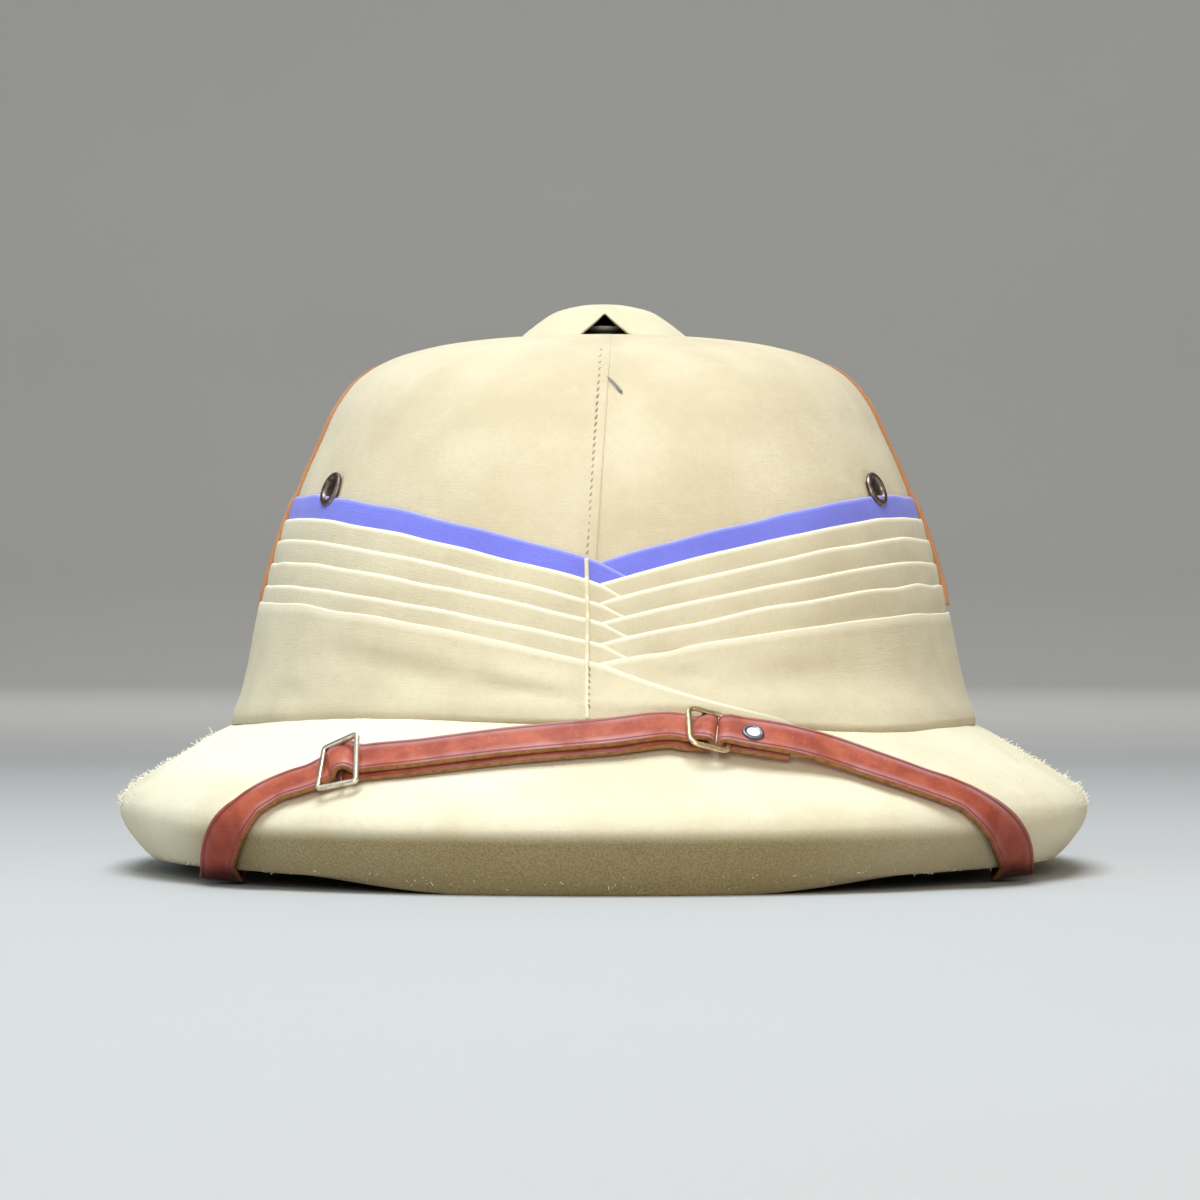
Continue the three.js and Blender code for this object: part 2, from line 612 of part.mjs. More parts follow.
function rightStrap() {
  const at = rightBuckleAt;
  const band = leatherBand([
    ...run(at + TAIL_END, at + 7.5, 4, TAIL_HEIGHT),
    ...bend(at, FOLD_OVER),
    ...run(at + 11.2, at + 16, 4, LAYER),
    ...bend(at + TAIL_END, PAST_TAIL),
    ...run(at + TAIL_END + 24, strapLength, 4),
  ]);
  return cut(band, rivetDrill(RIVET.shankR + GAP), studDrill(strapLength - STUD.fromEnd));
}

function rivet() {
  const height = LAYER + STRAP.thickness / 2 + GAP;
  const { point, up } = strapPlace(rightBuckleAt + RIVET.fromBuckle, height, RIVET.drop);
  const through = LAYER + STRAP.thickness + GAP;
  const profile = [
    { r: 0, z: -through },
    { r: RIVET.shankR, z: -through },
    { r: RIVET.shankR, z: 0 },
    { r: RIVET.headR, z: 0 },
    { r: RIVET.headR - 0.4, z: RIVET.headHeight * 0.7 },
    { r: RIVET.headR - 1.3, z: RIVET.headHeight },
    { r: 0, z: RIVET.headHeight },
  ];
  return placed(lathe(profile, 12), point, up);
}

// Studs that hold the strap's ends to the inside of the head opening
function studDrill(distance) {
  const { point, up } = strapPlace(distance);
  return placed(cylinder(STUD.shankR + GAP, 24, 12), point, up);
}

function stud(distance) {
  const { point, up } = strapPlace(distance, STRAP.thickness / 2 + GAP);
  const profile = [
    { r: 0, z: -STUD.depth - STRAP.thickness },
    { r: STUD.shankR, z: -STUD.depth - STRAP.thickness },
    { r: STUD.shankR, z: 0 },
    { r: STUD.headR, z: 0 },
    { r: STUD.headR - 0.6, z: STUD.headHeight },
    { r: 0, z: STUD.headHeight },
  ];
  return placed(lathe(profile, 12), point, up);
}

// A buckle frame with a bar across it, lying on the strap
function buckle(distance, barAt = 0) {
  const { length, width, bar, thickness } = BUCKLE;
  const windows = [-1, 1].map((side) => {
    const windowLength = length / 2 - 1.5 * bar - side * barAt;
    const window = new THREE.BoxGeometry(windowLength, width - 2 * bar, 2 * thickness);
    return window.translate(side * (length / 2 - bar - windowLength / 2), 0, 0);
  });
  const frame = cut(new THREE.BoxGeometry(length, width, thickness), ...windows);
  const { point, along, across, up } = strapPlace(distance, (STRAP.thickness + thickness) / 2 + BUCKLE.seat);
  return frame.applyMatrix4(new THREE.Matrix4().makeBasis(along, across, up).setPosition(point));
}

add("crown", crown(), COLOURS.khaki);
add("brim", brim(), COLOURS.khaki);
add("puggaree", puggaree(), COLOURS.khaki);
add("puggaree_end", clothEnd(), COLOURS.khaki);
add("stripe", stripe(), COLOURS.blue);
add("ventilator_cap", ventilatorCap(), COLOURS.khaki);
add("ventilator_collar", ventilatorCollar(), COLOURS.zinc, 0.6, 0.8);
for (const [side, name] of [[-1, "left"], [1, "right"]]) {
  add(`eyelet_${name}`, eyelet(side), COLOURS.brass, 0.4, 1);
  add(`side_band_${name}`, sideBand(side), COLOURS.tan, 0.7);
}
add("chin_strap_left", leftStrap(), COLOURS.leather, 0.5);
add("chin_strap_right", rightStrap(), COLOURS.leather, 0.5);
add("buckle_left", buckle(leftBuckleAt), COLOURS.brass, 0.35, 1);
add("buckle_right", buckle(rightBuckleAt, RIGHT_BAR_AT), COLOURS.brass, 0.35, 1);
add("rivet", rivet(), COLOURS.zinc, 0.35, 1);
add("strap_stud_left", stud(STUD.fromEnd), COLOURS.brass, 0.4, 1);
add("strap_stud_right", stud(strapLength - STUD.fromEnd), COLOURS.brass, 0.4, 1);

export default helmet;
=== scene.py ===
import math

import bpy
import numpy as np
from mathutils import Matrix, Vector, noise


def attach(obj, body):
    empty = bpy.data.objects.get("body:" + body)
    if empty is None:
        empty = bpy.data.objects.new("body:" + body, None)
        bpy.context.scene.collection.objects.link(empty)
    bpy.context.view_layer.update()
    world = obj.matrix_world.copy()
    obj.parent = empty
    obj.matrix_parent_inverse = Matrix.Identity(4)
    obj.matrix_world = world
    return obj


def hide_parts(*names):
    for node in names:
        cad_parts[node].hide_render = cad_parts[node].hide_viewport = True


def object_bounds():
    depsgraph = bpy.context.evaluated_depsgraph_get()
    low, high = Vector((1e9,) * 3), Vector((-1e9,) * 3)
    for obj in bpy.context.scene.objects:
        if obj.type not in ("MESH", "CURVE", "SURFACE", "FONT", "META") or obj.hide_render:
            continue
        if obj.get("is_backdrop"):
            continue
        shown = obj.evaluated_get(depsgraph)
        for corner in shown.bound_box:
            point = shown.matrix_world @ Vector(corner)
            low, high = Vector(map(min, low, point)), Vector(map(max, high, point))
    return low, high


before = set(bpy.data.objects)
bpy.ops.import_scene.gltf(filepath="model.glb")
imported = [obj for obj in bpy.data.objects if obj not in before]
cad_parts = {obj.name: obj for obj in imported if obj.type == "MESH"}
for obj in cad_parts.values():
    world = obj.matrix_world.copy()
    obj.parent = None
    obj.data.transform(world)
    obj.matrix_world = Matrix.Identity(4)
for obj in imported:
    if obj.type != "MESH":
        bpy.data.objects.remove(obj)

cad_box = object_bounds()

# Crown: the pith shell, a smooth dome under khaki cotton that is pasted to it.
# The cover is two halves, joined by a lapped and topstitched seam down the front and the back,
# and turned in at the ventilator hole and at the two side eyelets.
MM = 0.001
WELD = 0.000004
CENTRE_Y = -3.0
OVAL_POWER = 2.15
SHELL_WALL = 7.0
VENT_HOLE = 9.0
CROWN_ROWS = [  # half width, half length in front and behind, height at the side, front and back, in mm
    (28, 28.5, 28.5, 157, 157, 157),
    (39.3, 41, 41, 155.9, 155.9, 155.9),
    (52.6, 56, 56, 153.7, 153.7, 153.7),
    (66, 72.5, 73, 149.2, 149.2, 149.2),
    (72.6, 81.5, 82.5, 144.8, 144.8, 144.8),
    (79.3, 91, 92.5, 136, 136, 136),
    (83.5, 97.5, 99, 127, 127, 127),
    (87.6, 103, 104.5, 118, 118, 118),
    (91, 107.5, 108.5, 109, 109, 109),
    (94.2, 112, 112.5, 96, 96, 96),
    (96.2, 115, 115, 84, 84, 84),
    (98, 117.2, 117.2, 72, 72, 72),
    (99.6, 119.2, 119.2, 63, 63, 63),
    (101.8, 122, 122, 54, 55, 54),
    (105, 125, 125, 45, 50.2, 46),
]
SEAM_TOP = (2.1, 152.0)  # x and height of the front seam's edge, which leans to the left on its way down
SEAM_FOOT = (-1.9, 90.0)
SEAM_STEP = 0.65
SEAM_LAP = 2.8  # from the lapped edge to its stitching
STITCH_PITCH, STITCH_LENGTH, STITCH_RADIUS = 2.0, 1.6, 0.3
EYELET_ANGLE = 52.3
EYELET_HEIGHT = 110.4
EYELET_BORE = 3.4


def oval(angle, half_width, half_front, half_back):
    """Radius of an oval in a direction, in degrees from the front (-Y) towards +X."""
    turn = np.radians(angle)
    half_length = np.where(np.cos(turn) > 0, half_front, half_back)
    across = (np.abs(np.sin(turn)) / half_width) ** OVAL_POWER
    return (across + (np.abs(np.cos(turn)) / half_length) ** OVAL_POWER) ** (-1 / OVAL_POWER)


def level(angle, side, front, back):
    """Height of a ring that dips or rises from its sides to its front and back."""
    ahead = np.cos(np.radians(angle))
    return side + (np.where(ahead > 0, front, back) - side) * ahead**2


def polar(angle, radius, height):
    turn = np.radians(angle)
    return np.stack([radius * np.sin(turn), CENTRE_Y - radius * np.cos(turn), height + 0 * turn], -1)


def smooth_rows(rows, places):
    """A table's rows at fractional places, on a smooth curve through them."""
    rows = np.array(rows, float)
    places = np.atleast_1d(places)
    chord = np.linalg.norm(np.diff(rows[:, [0, 3]], axis=0), axis=1)
    slope = np.gradient(rows, np.concatenate([[0], np.cumsum(chord)]), axis=0)
    i = np.clip(np.floor(places).astype(int), 0, len(chord) - 1)
    u, h = (places - i)[:, None], chord[i][:, None]
    start = (1 + 2 * u) * (1 - u) ** 2 * rows[i] + u * (1 - u) ** 2 * h * slope[i]
    return start + u**2 * (3 - 2 * u) * rows[i + 1] + u**2 * (u - 1) * h * slope[i + 1]


def wander(points, size, seed=0.0):
    """Smooth noise from -1 to 1 at each point, with lumps of that size in mm."""
    flat = np.asarray(points, float).reshape(-1, 3) / size + seed * 17.31
    return np.array([noise.noise(Vector(p)) for p in flat]).reshape(np.shape(points)[:-1])


def give_tone(piece, values):
    """Writes a share from 0 to 1 at each vertex, which the piece's material reads."""
    layer = piece.data.attributes.new("tone", "FLOAT", "POINT")
    layer.data.foreach_set("value", np.asarray(values, float).ravel())


def close_up():
    """Joins the edges that meet, caps open ends, turns every face outwards and leaves edit mode."""
    bpy.ops.mesh.select_all(action="SELECT")
    bpy.ops.mesh.remove_doubles(threshold=WELD)
    bpy.ops.mesh.select_all(action="SELECT")
    bpy.ops.mesh.fill_holes(sides=0)
    bpy.ops.mesh.select_all(action="SELECT")
    bpy.ops.mesh.normals_make_consistent(inside=False)
    bpy.ops.object.mode_set(mode="OBJECT")
    bpy.ops.object.shade_smooth()


def surface(name, points, tone=None):
    """A mesh on a grid of points in mm. Edges that meet are joined, and open ends are capped."""
    rows, columns = points.shape[:2]
    bpy.ops.object.select_all(action="DESELECT")
    bpy.ops.mesh.primitive_grid_add(x_subdivisions=columns - 1, y_subdivisions=rows - 1, size=2)
    made = bpy.context.object
    made.name = name
    flat = np.empty(len(made.data.vertices) * 3)
    made.data.vertices.foreach_get("co", flat)
    flat = flat.reshape(-1, 3)
    column = np.rint((flat[:, 0] + 1) / 2 * (columns - 1)).astype(int)
    row = np.rint((flat[:, 1] + 1) / 2 * (rows - 1)).astype(int)
    made.data.vertices.foreach_set("co", (points[row, column] * MM).ravel())
    if tone is not None:
        give_tone(made, np.asarray(tone, float)[row, column])
    layer = made.data.uv_layers.active.data
    uv = np.empty(len(layer) * 2)
    layer.foreach_get("uv", uv)
    width = np.linalg.norm(np.diff(points, axis=1), axis=2).sum(1).max() * MM
    height = np.linalg.norm(np.diff(points, axis=0), axis=2).sum(0).max() * MM
    layer.foreach_set("uv", (uv.reshape(-1, 2) * (width, height)).ravel())
    bpy.ops.object.mode_set(mode="EDIT")
    close_up()
    return made


def join(name, pieces):
    bpy.ops.object.select_all(action="DESELECT")
    for piece in pieces:
        piece.select_set(True)
    bpy.context.view_layer.objects.active = pieces[0]
    bpy.ops.object.join()
    pieces[0].name = name
    return pieces[0]


def tube(name, path, radius, sides=8, tone=0.0):
    """A round bar along a path in mm; the radius can change along it."""
    path = np.array(path, float)
    along = np.gradient(path, axis=0)
    along /= np.linalg.norm(along, axis=1)[:, None]
    lean = np.array([0.0, 1, 0.12]) if abs(along[:, 1]).mean() < 0.7 else np.array([0.0, 0.12, 1])
    side = np.cross(along, lean)
    side /= np.linalg.norm(side, axis=1)[:, None]
    up = np.cross(side, along)
    turn = np.linspace(0, 2 * np.pi, sides + 1)[None, :, None]
    reach = np.broadcast_to(radius, len(path))[:, None, None]
    points = path[:, None] + reach * (np.cos(turn) * side[:, None] + np.sin(turn) * up[:, None])
    return surface(name, points, np.full(points.shape[:2], tone))


def stitch(name, middle, along, length, radius):
    """One stitch, a thread that dips into the cloth at both ends."""
    step = np.linspace(-1, 1, 7)
    path = np.array(middle) + np.outer(step * length / 2, along)
    return tube(name, path, radius * np.sqrt(1.02 - step**2), 6)


def plug(tree, made, inputs):
    """Gives each named input of a shader node its value, or a link from a socket."""
    for key, value in inputs.items():
        if isinstance(value, bpy.types.NodeSocket):
            tree.links.new(value, made.inputs[key])
        else:
            made.inputs[key].default_value = value


def node(tree, kind, inputs=None, **settings):
    made = tree.nodes.new(kind)
    for key, value in settings.items():
        setattr(made, key, value)
    plug(tree, made, inputs or {})
    return made


def mix(tree, factor, a, b, blend="MIX"):
    colours = {0: factor, 6: a, 7: b}
    return node(tree, "ShaderNodeMix", colours, data_type="RGBA", blend_type=blend).outputs[2]


def maths(tree, operation, a, b=0.0):
    return node(tree, "ShaderNodeMath", {0: a, 1: b}, operation=operation).outputs[0]


def times(tree, a, b):
    return maths(tree, "MULTIPLY", a, b)


def lumps(tree, where, scale, detail=3.0, roughness=0.55):
    inputs = {"Vector": where, "Scale": scale, "Detail": detail, "Roughness": roughness}
    return node(tree, "ShaderNodeTexNoise", inputs).outputs["Fac"]


def between(tree, value, low, high):
    """The value from 0 at low to 1 at high."""
    inputs = {"Value": value, "From Min": low, "From Max": high}
    return node(tree, "ShaderNodeMapRange", inputs, interpolation_type="SMOOTHSTEP").outputs["Result"]


def new_material(name):
    material = bpy.data.materials.new(name)
    material.use_nodes = True
    return material, material.node_tree, material.node_tree.nodes["Principled BSDF"]


def slub(tree, uv, across, along):
    """Uneven threads: noise drawn out along the cloth."""
    drawn = node(tree, "ShaderNodeVectorMath", {0: uv, 1: (across, along, 0)}, operation="MULTIPLY")
    return lumps(tree, drawn.outputs[0], 1.0, 2.0)


def stain(tree, colour, amount, share, other):
    """The colour with up to that share of another one over it, by the amount at each place."""
    return mix(tree, times(tree, amount, share), colour, other)


def cloth(name, light, dark, weave=0.35, nap=0.5, folded=None, shade_and_grime=0.0):
    """Cotton. Weave and nap are the relief of its threads and fibres, folded is a painted highlight colour
    where tone is 1, and the last amount paints light on the brim's upper left and shade, with some grime, on
    its turned-down edge.
    """
    material, tree, shader = new_material(name)
    coords = node(tree, "ShaderNodeTexCoord").outputs
    cloudy = between(tree, lumps(tree, coords["Object"], 30, 5.0), 0.32, 0.7)
    colour = mix(tree, cloudy, light, dark)
    threads = maths(tree, "ADD", slub(tree, coords["UV"], 1900, 170), slub(tree, coords["UV"], 170, 1900))
    fleck = between(tree, lumps(tree, coords["Object"], 520, 4.0, 0.7), 0.46, 0.74)
    colour = stain(tree, colour, fleck, 0.45, dark)
    colour = stain(tree, colour, between(tree, threads, 1.0, 1.4), 0.3, dark)
    pale = between(tree, lumps(tree, coords["Object"], 310, 2.0, 0.5), 0.55, 0.75)
    paler = (*[min(1.0, c * 1.1) for c in light[:3]], 1)
    colour = stain(tree, colour, pale, 0.15, paler)
    # Painted highlight: where tone is 1 the cloth takes the folded colour, the light caught by a fold's upper
    # edge.
    if folded:
        tone = node(tree, "ShaderNodeAttribute", attribute_name="tone").outputs["Fac"]
        colour = mix(tree, tone, colour, folded)
    if shade_and_grime:
        place = node(tree, "ShaderNodeSeparateXYZ", {0: coords["Object"]}).outputs
        # Painted highlight: the top of the brim on the left is lightened to a pale cool cream, as lit from
        # that side.
        on_left, on_top = between(tree, place[0], 0.01, -0.09), between(tree, place[2], 0.026, 0.034)
        left_top_highlight = times(tree, on_left, on_top)
        colour = stain(tree, colour, left_top_highlight, 0.65, (0.83, 0.8, 0.68, 1))
        # Painted shade with some grime: the brim's turned-down edge below its ridge is darkened in blotches,
        # most in front, fading at the sides and a little to the right.
        low = between(tree, place[2], 0.0185, 0.0135)
        inward = between(tree, maths(tree, "ABSOLUTE", place[0]), 0.128, 0.1)
        less_shade_right = times(tree, between(tree, place[0], 0.04, 0.1), 0.2)
        inward = maths(tree, "SUBTRACT", inward, less_shade_right)
        blotches = between(tree, lumps(tree, coords["Object"], 1700, 4.0, 0.65), 0.32, 0.66)
        patchy = maths(tree, "ADD", times(tree, blotches, 0.2), 0.8)
        shaded_and_soiled = times(tree, times(tree, low, inward), patchy)
        colour = stain(tree, colour, shaded_and_soiled, shade_and_grime, (0.23, 0.17, 0.06, 1))
    fibres = times(tree, lumps(tree, coords["Object"], 1500, 4.0, 0.7), nap)
    felted = times(tree, lumps(tree, coords["Object"], 330, 3.0, 0.6), nap)
    height = maths(tree, "ADD", times(tree, threads, weave), maths(tree, "ADD", fibres, felted))
    bump = node(tree, "ShaderNodeBump", {"Height": height, "Strength": 0.55, "Distance": 0.00035})
    plug(tree, shader, {"Base Color": colour, "Normal": bump.outputs[0], "Roughness": 0.9})
    plug(tree, shader, {"Specular IOR Level": 0.15, "Sheen Weight": 0.12, "Sheen Roughness": 0.6})
    return material


def finish_piece(piece, material, slot, *nodes):
    piece.data.materials.clear()
    piece.data.materials.append(material)
    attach(piece, "root")
    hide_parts(*nodes)
    return piece


crown_rows = smooth_rows(CROWN_ROWS, np.linspace(0, len(CROWN_ROWS) - 1, 71))


def crown_radius(angle, height):
    """Radius of the crown's outer face in each direction, at each height."""
    angle, height = np.broadcast_arrays(np.asarray(angle, float), np.asarray(height, float))
    found = np.empty(angle.shape)
    for place in np.ndindex(angle.shape):
        a = angle[place]
        tall = level(a, crown_rows[:, 3], crown_rows[:, 4], crown_rows[:, 5])
        wide = oval(a, crown_rows[:, 0], crown_rows[:, 1], crown_rows[:, 2])
        found[place] = np.interp(height[place], tall[::-1], wide[::-1])
    return found


near_seam = np.array([0.12, 0.25, 0.42, 0.65, 0.95, 1.3, 1.75, 2.3, 3.0, 4.0])
around = np.concatenate([np.arange(6, 175, 2.0), -np.arange(6, 175, 2.0), [0, 180]])
around = np.concatenate([around, near_seam, -near_seam, 180 - near_seam, near_seam - 180])
around = np.sort(around)
around = np.concatenate([around, [around[0] + 360]])
outer = np.concatenate([[[VENT_HOLE] * 3 + [157.2] * 3, [18] * 3 + [157.15] * 3], crown_rows])
points = []
for row in outer:
    height = level(around, *row[3:])
    seam_x = np.interp(height, [SEAM_FOOT[1], SEAM_TOP[1]], [SEAM_FOOT[0], SEAM_TOP[0]])
    seam_turn = np.degrees(np.arcsin(np.clip(seam_x / row[1], -1, 1)))
    angle = around + seam_turn * np.clip(1.25 - np.abs(around) / 16, 0, 1)
    radius = oval(angle, *row[:3])
    front = np.cos(np.radians(around)) > 0
    past = radius * np.sin(np.radians(angle)) - np.where(front, seam_x, 0)
    past = np.where(front, past, -past)
    lapped, sunk = SEAM_STEP * np.exp(-((past / 5.5) ** 2)), -0.25 * np.exp(-((past / 0.7) ** 2))
    lap = np.where(past < -0.05, lapped, sunk)
    groove = -0.35 * np.exp(-(((past + SEAM_LAP) / 0.45) ** 2))
    here = polar(angle, radius, height)
    radius = radius + (lap + groove) * (row[0] > 26) + 0.4 * wander(here, 42, 1) + 0.13 * wander(here, 11, 2)
    points.append(polar(angle, radius, height))
for row in crown_rows[::-7]:
    drop = SHELL_WALL * (1 - row[0] / 118)
    points.append(polar(around, oval(around, *(row[:3] - SHELL_WALL)), level(around, *row[3:]) - drop))
points.append(polar(around, np.full(len(around), VENT_HOLE), np.full(len(around), 150.2)))
points.append(points[0])
crown = surface("crown_cover", np.array(points))


def frame_on_crown(angle, height):
    """A point on the crown's outer face, with the outward, sideways and upward directions there."""
    def at(a, h):
        return polar(a, crown_radius(a, h), h).reshape(3)
    side = at(angle + 0.5, height) - at(angle - 0.5, height)
    up = at(angle, height + 0.6) - at(angle, height - 0.6)
    out = np.cross(side, up)
    out, side = out / np.linalg.norm(out), side / np.linalg.norm(side)
    return at(angle, height), out, side, np.cross(out, side)


for turn in (EYELET_ANGLE, -EYELET_ANGLE):
    middle, out, _, _ = frame_on_crown(turn, EYELET_HEIGHT)
    drill = tube("drill", [middle + out * d for d in (-16, 6)], EYELET_BORE, 32)
    bpy.context.view_layer.objects.active = crown
    cut = crown.modifiers.new("eyelet hole", "BOOLEAN")
    cut.object, cut.operation, cut.solver = drill, "DIFFERENCE", "EXACT"
    bpy.ops.object.modifier_apply(modifier=cut.name)
    bpy.data.objects.remove(drill)

khaki = cloth("khaki_cotton", (0.7, 0.6, 0.41, 1), (0.6, 0.5, 0.315, 1), 0.5, 0.8)
finish_piece(crown, khaki, "khaki_cover", "crown")

stitches = []
for height in np.arange(SEAM_FOOT[1] + 2, SEAM_TOP[1], STITCH_PITCH):
    x = np.interp(height, [SEAM_FOOT[1], SEAM_TOP[1]], [SEAM_FOOT[0], SEAM_TOP[0]]) - SEAM_LAP
    for turn in (0, 180):
        x_here = x if turn == 0 else SEAM_LAP
        angle = turn + np.degrees(x_here / crown_radius(turn, height)) * (1 if turn == 0 else -1)
        middle, out, side, up = frame_on_crown(angle, height)
        middle = middle + out * (0.3 + 0.12 * wander(middle, 3, 5))
        radius = STITCH_RADIUS * min(1, max(0.4, (155 - height) / 18))
        stitches.append(stitch("stitch", middle, up * 0.9 + side * 0.43, STITCH_LENGTH, radius))
stitches = join("crown_seam_stitching", stitches)


def mottled(name, scale, one, other, roughness):
    """A dull finish that drifts between two colours."""
    material, tree, shader = new_material(name)
    coords = node(tree, "ShaderNodeTexCoord").outputs
    colour = mix(tree, lumps(tree, coords["Object"], scale), one, other)
    plug(tree, shader, {"Base Color": colour, "Roughness": roughness})
    return material


thread = mottled("dark_thread", 2500, (0.3, 0.225, 0.14, 1), (0.5, 0.4, 0.26, 1), 0.85)
finish_piece(stitches, thread, "khaki_cover", "crown")

# Loose thread: a short grey end of sewing thread left hanging from the front seam.
# It is cotton, caught under the lapped edge at its upper end.
path = []
for step in np.linspace(0, 1, 9):
    middle, out, side, up = frame_on_crown(0.7 + 2.5 * step, 141.6 - 4.6 * step)
    path.append(middle + out * (0.35 + 0.5 * math.sin(math.pi * step)))
loose = tube("loose_thread", path, 0.2 + 0.22 * np.linspace(0, 1, 9), 8)
grey_thread = mottled("grey_thread", 3000, (0.17, 0.165, 0.2, 1), (0.33, 0.32, 0.36, 1), 0.8)
finish_piece(loose, grey_thread, "khaki_cover", "crown")

# Brim: the same pith and cotton, sloping out from the crown and turned down at its edge.
# It stands on its front and back, and its two sides are a little clear of the floor.
BRIM_ROWS = [  # as CROWN_ROWS, from the crown's foot over the edge and back under to the head opening
    (105, 125, 125, 44.7, 49.9, 45.7),
    (113.4, 133.4, 133.4, 40.8, 45.4, 42),
    (126, 150, 152, 33.2, 35.9, 34),
    (136, 163.5, 168, 27.2, 28.1, 27),
    (140.4, 169.6, 175.2, 24, 23.5, 22.6),
    (142.6, 172.2, 178.4, 20.8, 20.2, 19.3),
    (143, 173, 179, 17.6, 17.2, 16.4),
    (142, 171.9, 178, 14.2, 13.8, 13),
    (139, 169, 174.5, 9.8, 8.5, 7.8),
    (136, 166, 171, 6.3, 3.5, 3.3),
    (134, 164, 169, 4.4, 0, 0),
    (130.5, 160.5, 165.5, 4.4, 0, 0),
    (127, 156.5, 161, 7, 4, 4),
    (119, 146, 149, 16.5, 16, 15),
    (109, 133, 134, 25, 26, 24),
    (98, 118, 118, 30, 32, 29),
    (98, 118, 118, 44.7, 49.9, 45.7),
]
FOOT_ROWS = (10, 11)
FOOT_FLAT = 12.5  # degrees to each side of the front and back that lie on the floor
FOOT_RISEN = 34.0


def brim_ring(angle, place):
    """Points of the brim's section at a fractional row of its table."""
    if place <= FOOT_ROWS[0]:
        row = smooth_rows(BRIM_ROWS[: FOOT_ROWS[0] + 1], place)[0]
    elif place < FOOT_ROWS[1]:
        row = np.array(BRIM_ROWS[FOOT_ROWS[0]]) * (FOOT_ROWS[1] - place)
        row = row + np.array(BRIM_ROWS[FOOT_ROWS[1]]) * (place - FOOT_ROWS[0])
    elif place <= 15:
        row = smooth_rows(BRIM_ROWS[FOOT_ROWS[1] : 16], place - FOOT_ROWS[1])[0]
    else:
        row = np.array(BRIM_ROWS[15]) * (16 - place) + np.array(BRIM_ROWS[16]) * (place - 15)
    height = level(angle, *row[3:])
    apart = np.abs((np.asarray(angle) + 180) % 360 - 180)
    apart = np.minimum(apart, 180 - apart)
    rise = np.clip((apart - FOOT_FLAT) / (FOOT_RISEN - FOOT_FLAT), 0, 1)
    foot = BRIM_ROWS[FOOT_ROWS[0]][3] * rise**2 * (3 - 2 * rise)
    nearness = np.clip(1 - np.abs(place - sum(FOOT_ROWS) / 2) + 0.5, 0, 1)
    height = height + (foot - level(angle, *BRIM_ROWS[FOOT_ROWS[0]][3:])) * nearness
    return polar(angle, oval(angle, *row[:3]), np.maximum(height, foot * nearness))


around = np.linspace(-180, 180, 241)
top_and_edge = [np.linspace(0, 3, 14)[:-1], np.linspace(3, 10, 40)[:-1]]
foot_and_under = [[10, 10.5, 11], np.linspace(11, 15, 14)[1:], [16]]
places = np.concatenate(top_and_edge + foot_and_under)
points = []
for place in places:
    ring = brim_ring(around, place)
    lump = 0.45 * wander(ring, 30, 3) + 0.2 * wander(ring, 8, 4)
    if 4 < place < 9.5:
        lump = lump + 0.16 * wander(ring, 3.2, 6)
    if place < 9.7:
        points.append(ring + lump[:, None] * np.array([0, 0, 1.0]) * (1 if place < 4 else 0.4))
        outward = ring - [0, CENTRE_Y, 0]
        outward[:, 2] = 0
        points[-1] += (lump * (place > 3))[:, None] * outward / np.linalg.norm(outward, axis=1)[:, None]
    else:
        points.append(ring)
points.append(points[0])
brim = surface("brim_cover", np.array(points))
# The brim's cotton has painted light on its upper left and painted shade, with some grime, on its turned-down
# edge.
khaki_edge = cloth("khaki_brim_cotton", (0.82, 0.745, 0.54, 1), (0.72, 0.635, 0.425, 1), nap=1.0, shade_and_grime=0.97)
finish_piece(brim, khaki_edge, "khaki_cover", "brim")

# Puggaree: a long khaki cotton scarf wound round the crown in four narrow folds and one wide wrap.
# Each winding crosses in front, its left end over its right one, and the last end slants down to the brim;
# they are held by their own tension and by a tacked cord in front.
FOLDS = [  # the upper edge's height at the left, front and right, and how far the outer face is off the crown
    (102.8, 83.4, 103, 1.9),
    (96.7, 78.0, 97, 2.7),
    (90, 72.8, 90, 3.5),
    (83.3, 67.0, 83.6, 4.3),
]
WRAP = (78.4, 61.5, 75.4, 5.3)
STRIPE = (109.4, 89.3, 109.4, 1.05)
V_SPREAD = 62.0
V_POWER = 1.9
V_MIDDLE = -0.5
CROSS_SLOPE = 1.05  # mm down for each degree past the middle
LAYER_LIFT, WRAP_LIFT, STRIPE_LIFT = 0.4, 0.7, 0.35  # of the upper layer where a winding crosses itself
LAYER_FADE = 14.0
FOLD_THICKNESS, WRAP_THICKNESS, STRIPE_THICKNESS = 1.1, 0.9, 0.7
FOLD_REACH, STRIPE_REACH = 10.5, 9.5
FOOT_SLOPE = 0.54  # the brim's fall for each mm outwards where the wrap meets it
FOOT_SPREAD_HEIGHT = 16.0
LEFT_END, RIGHT_END = 4.3, -3.2  # degrees past the middle where a fold's ends are tucked in
FLAP_END = 24.0
CREASES = [  # x and height at each end, width and depth in mm
    ((-78, 64), (-34, 55.2), 3.4, 1.0),
    ((-34, 55.2), (-6, 50.6), 2.8, 1.5),
    ((-92, 53), (-84, 51), 2.6, 0.8),
    ((12, 66), (24, 64), 2.6, 0.7),
    ((16, 58.5), (30, 57.5), 2.2, 0.6),
    ((34, 54), (70, 60), 4.0, 0.5),
]


def wound(left_end, right_end, step=1.5):
    """Angles of one winding: from its left end, round by the left and the back, to its right end."""
    return np.linspace(left_end, right_end - 360, int((left_end - right_end + 360) / step) + 1)


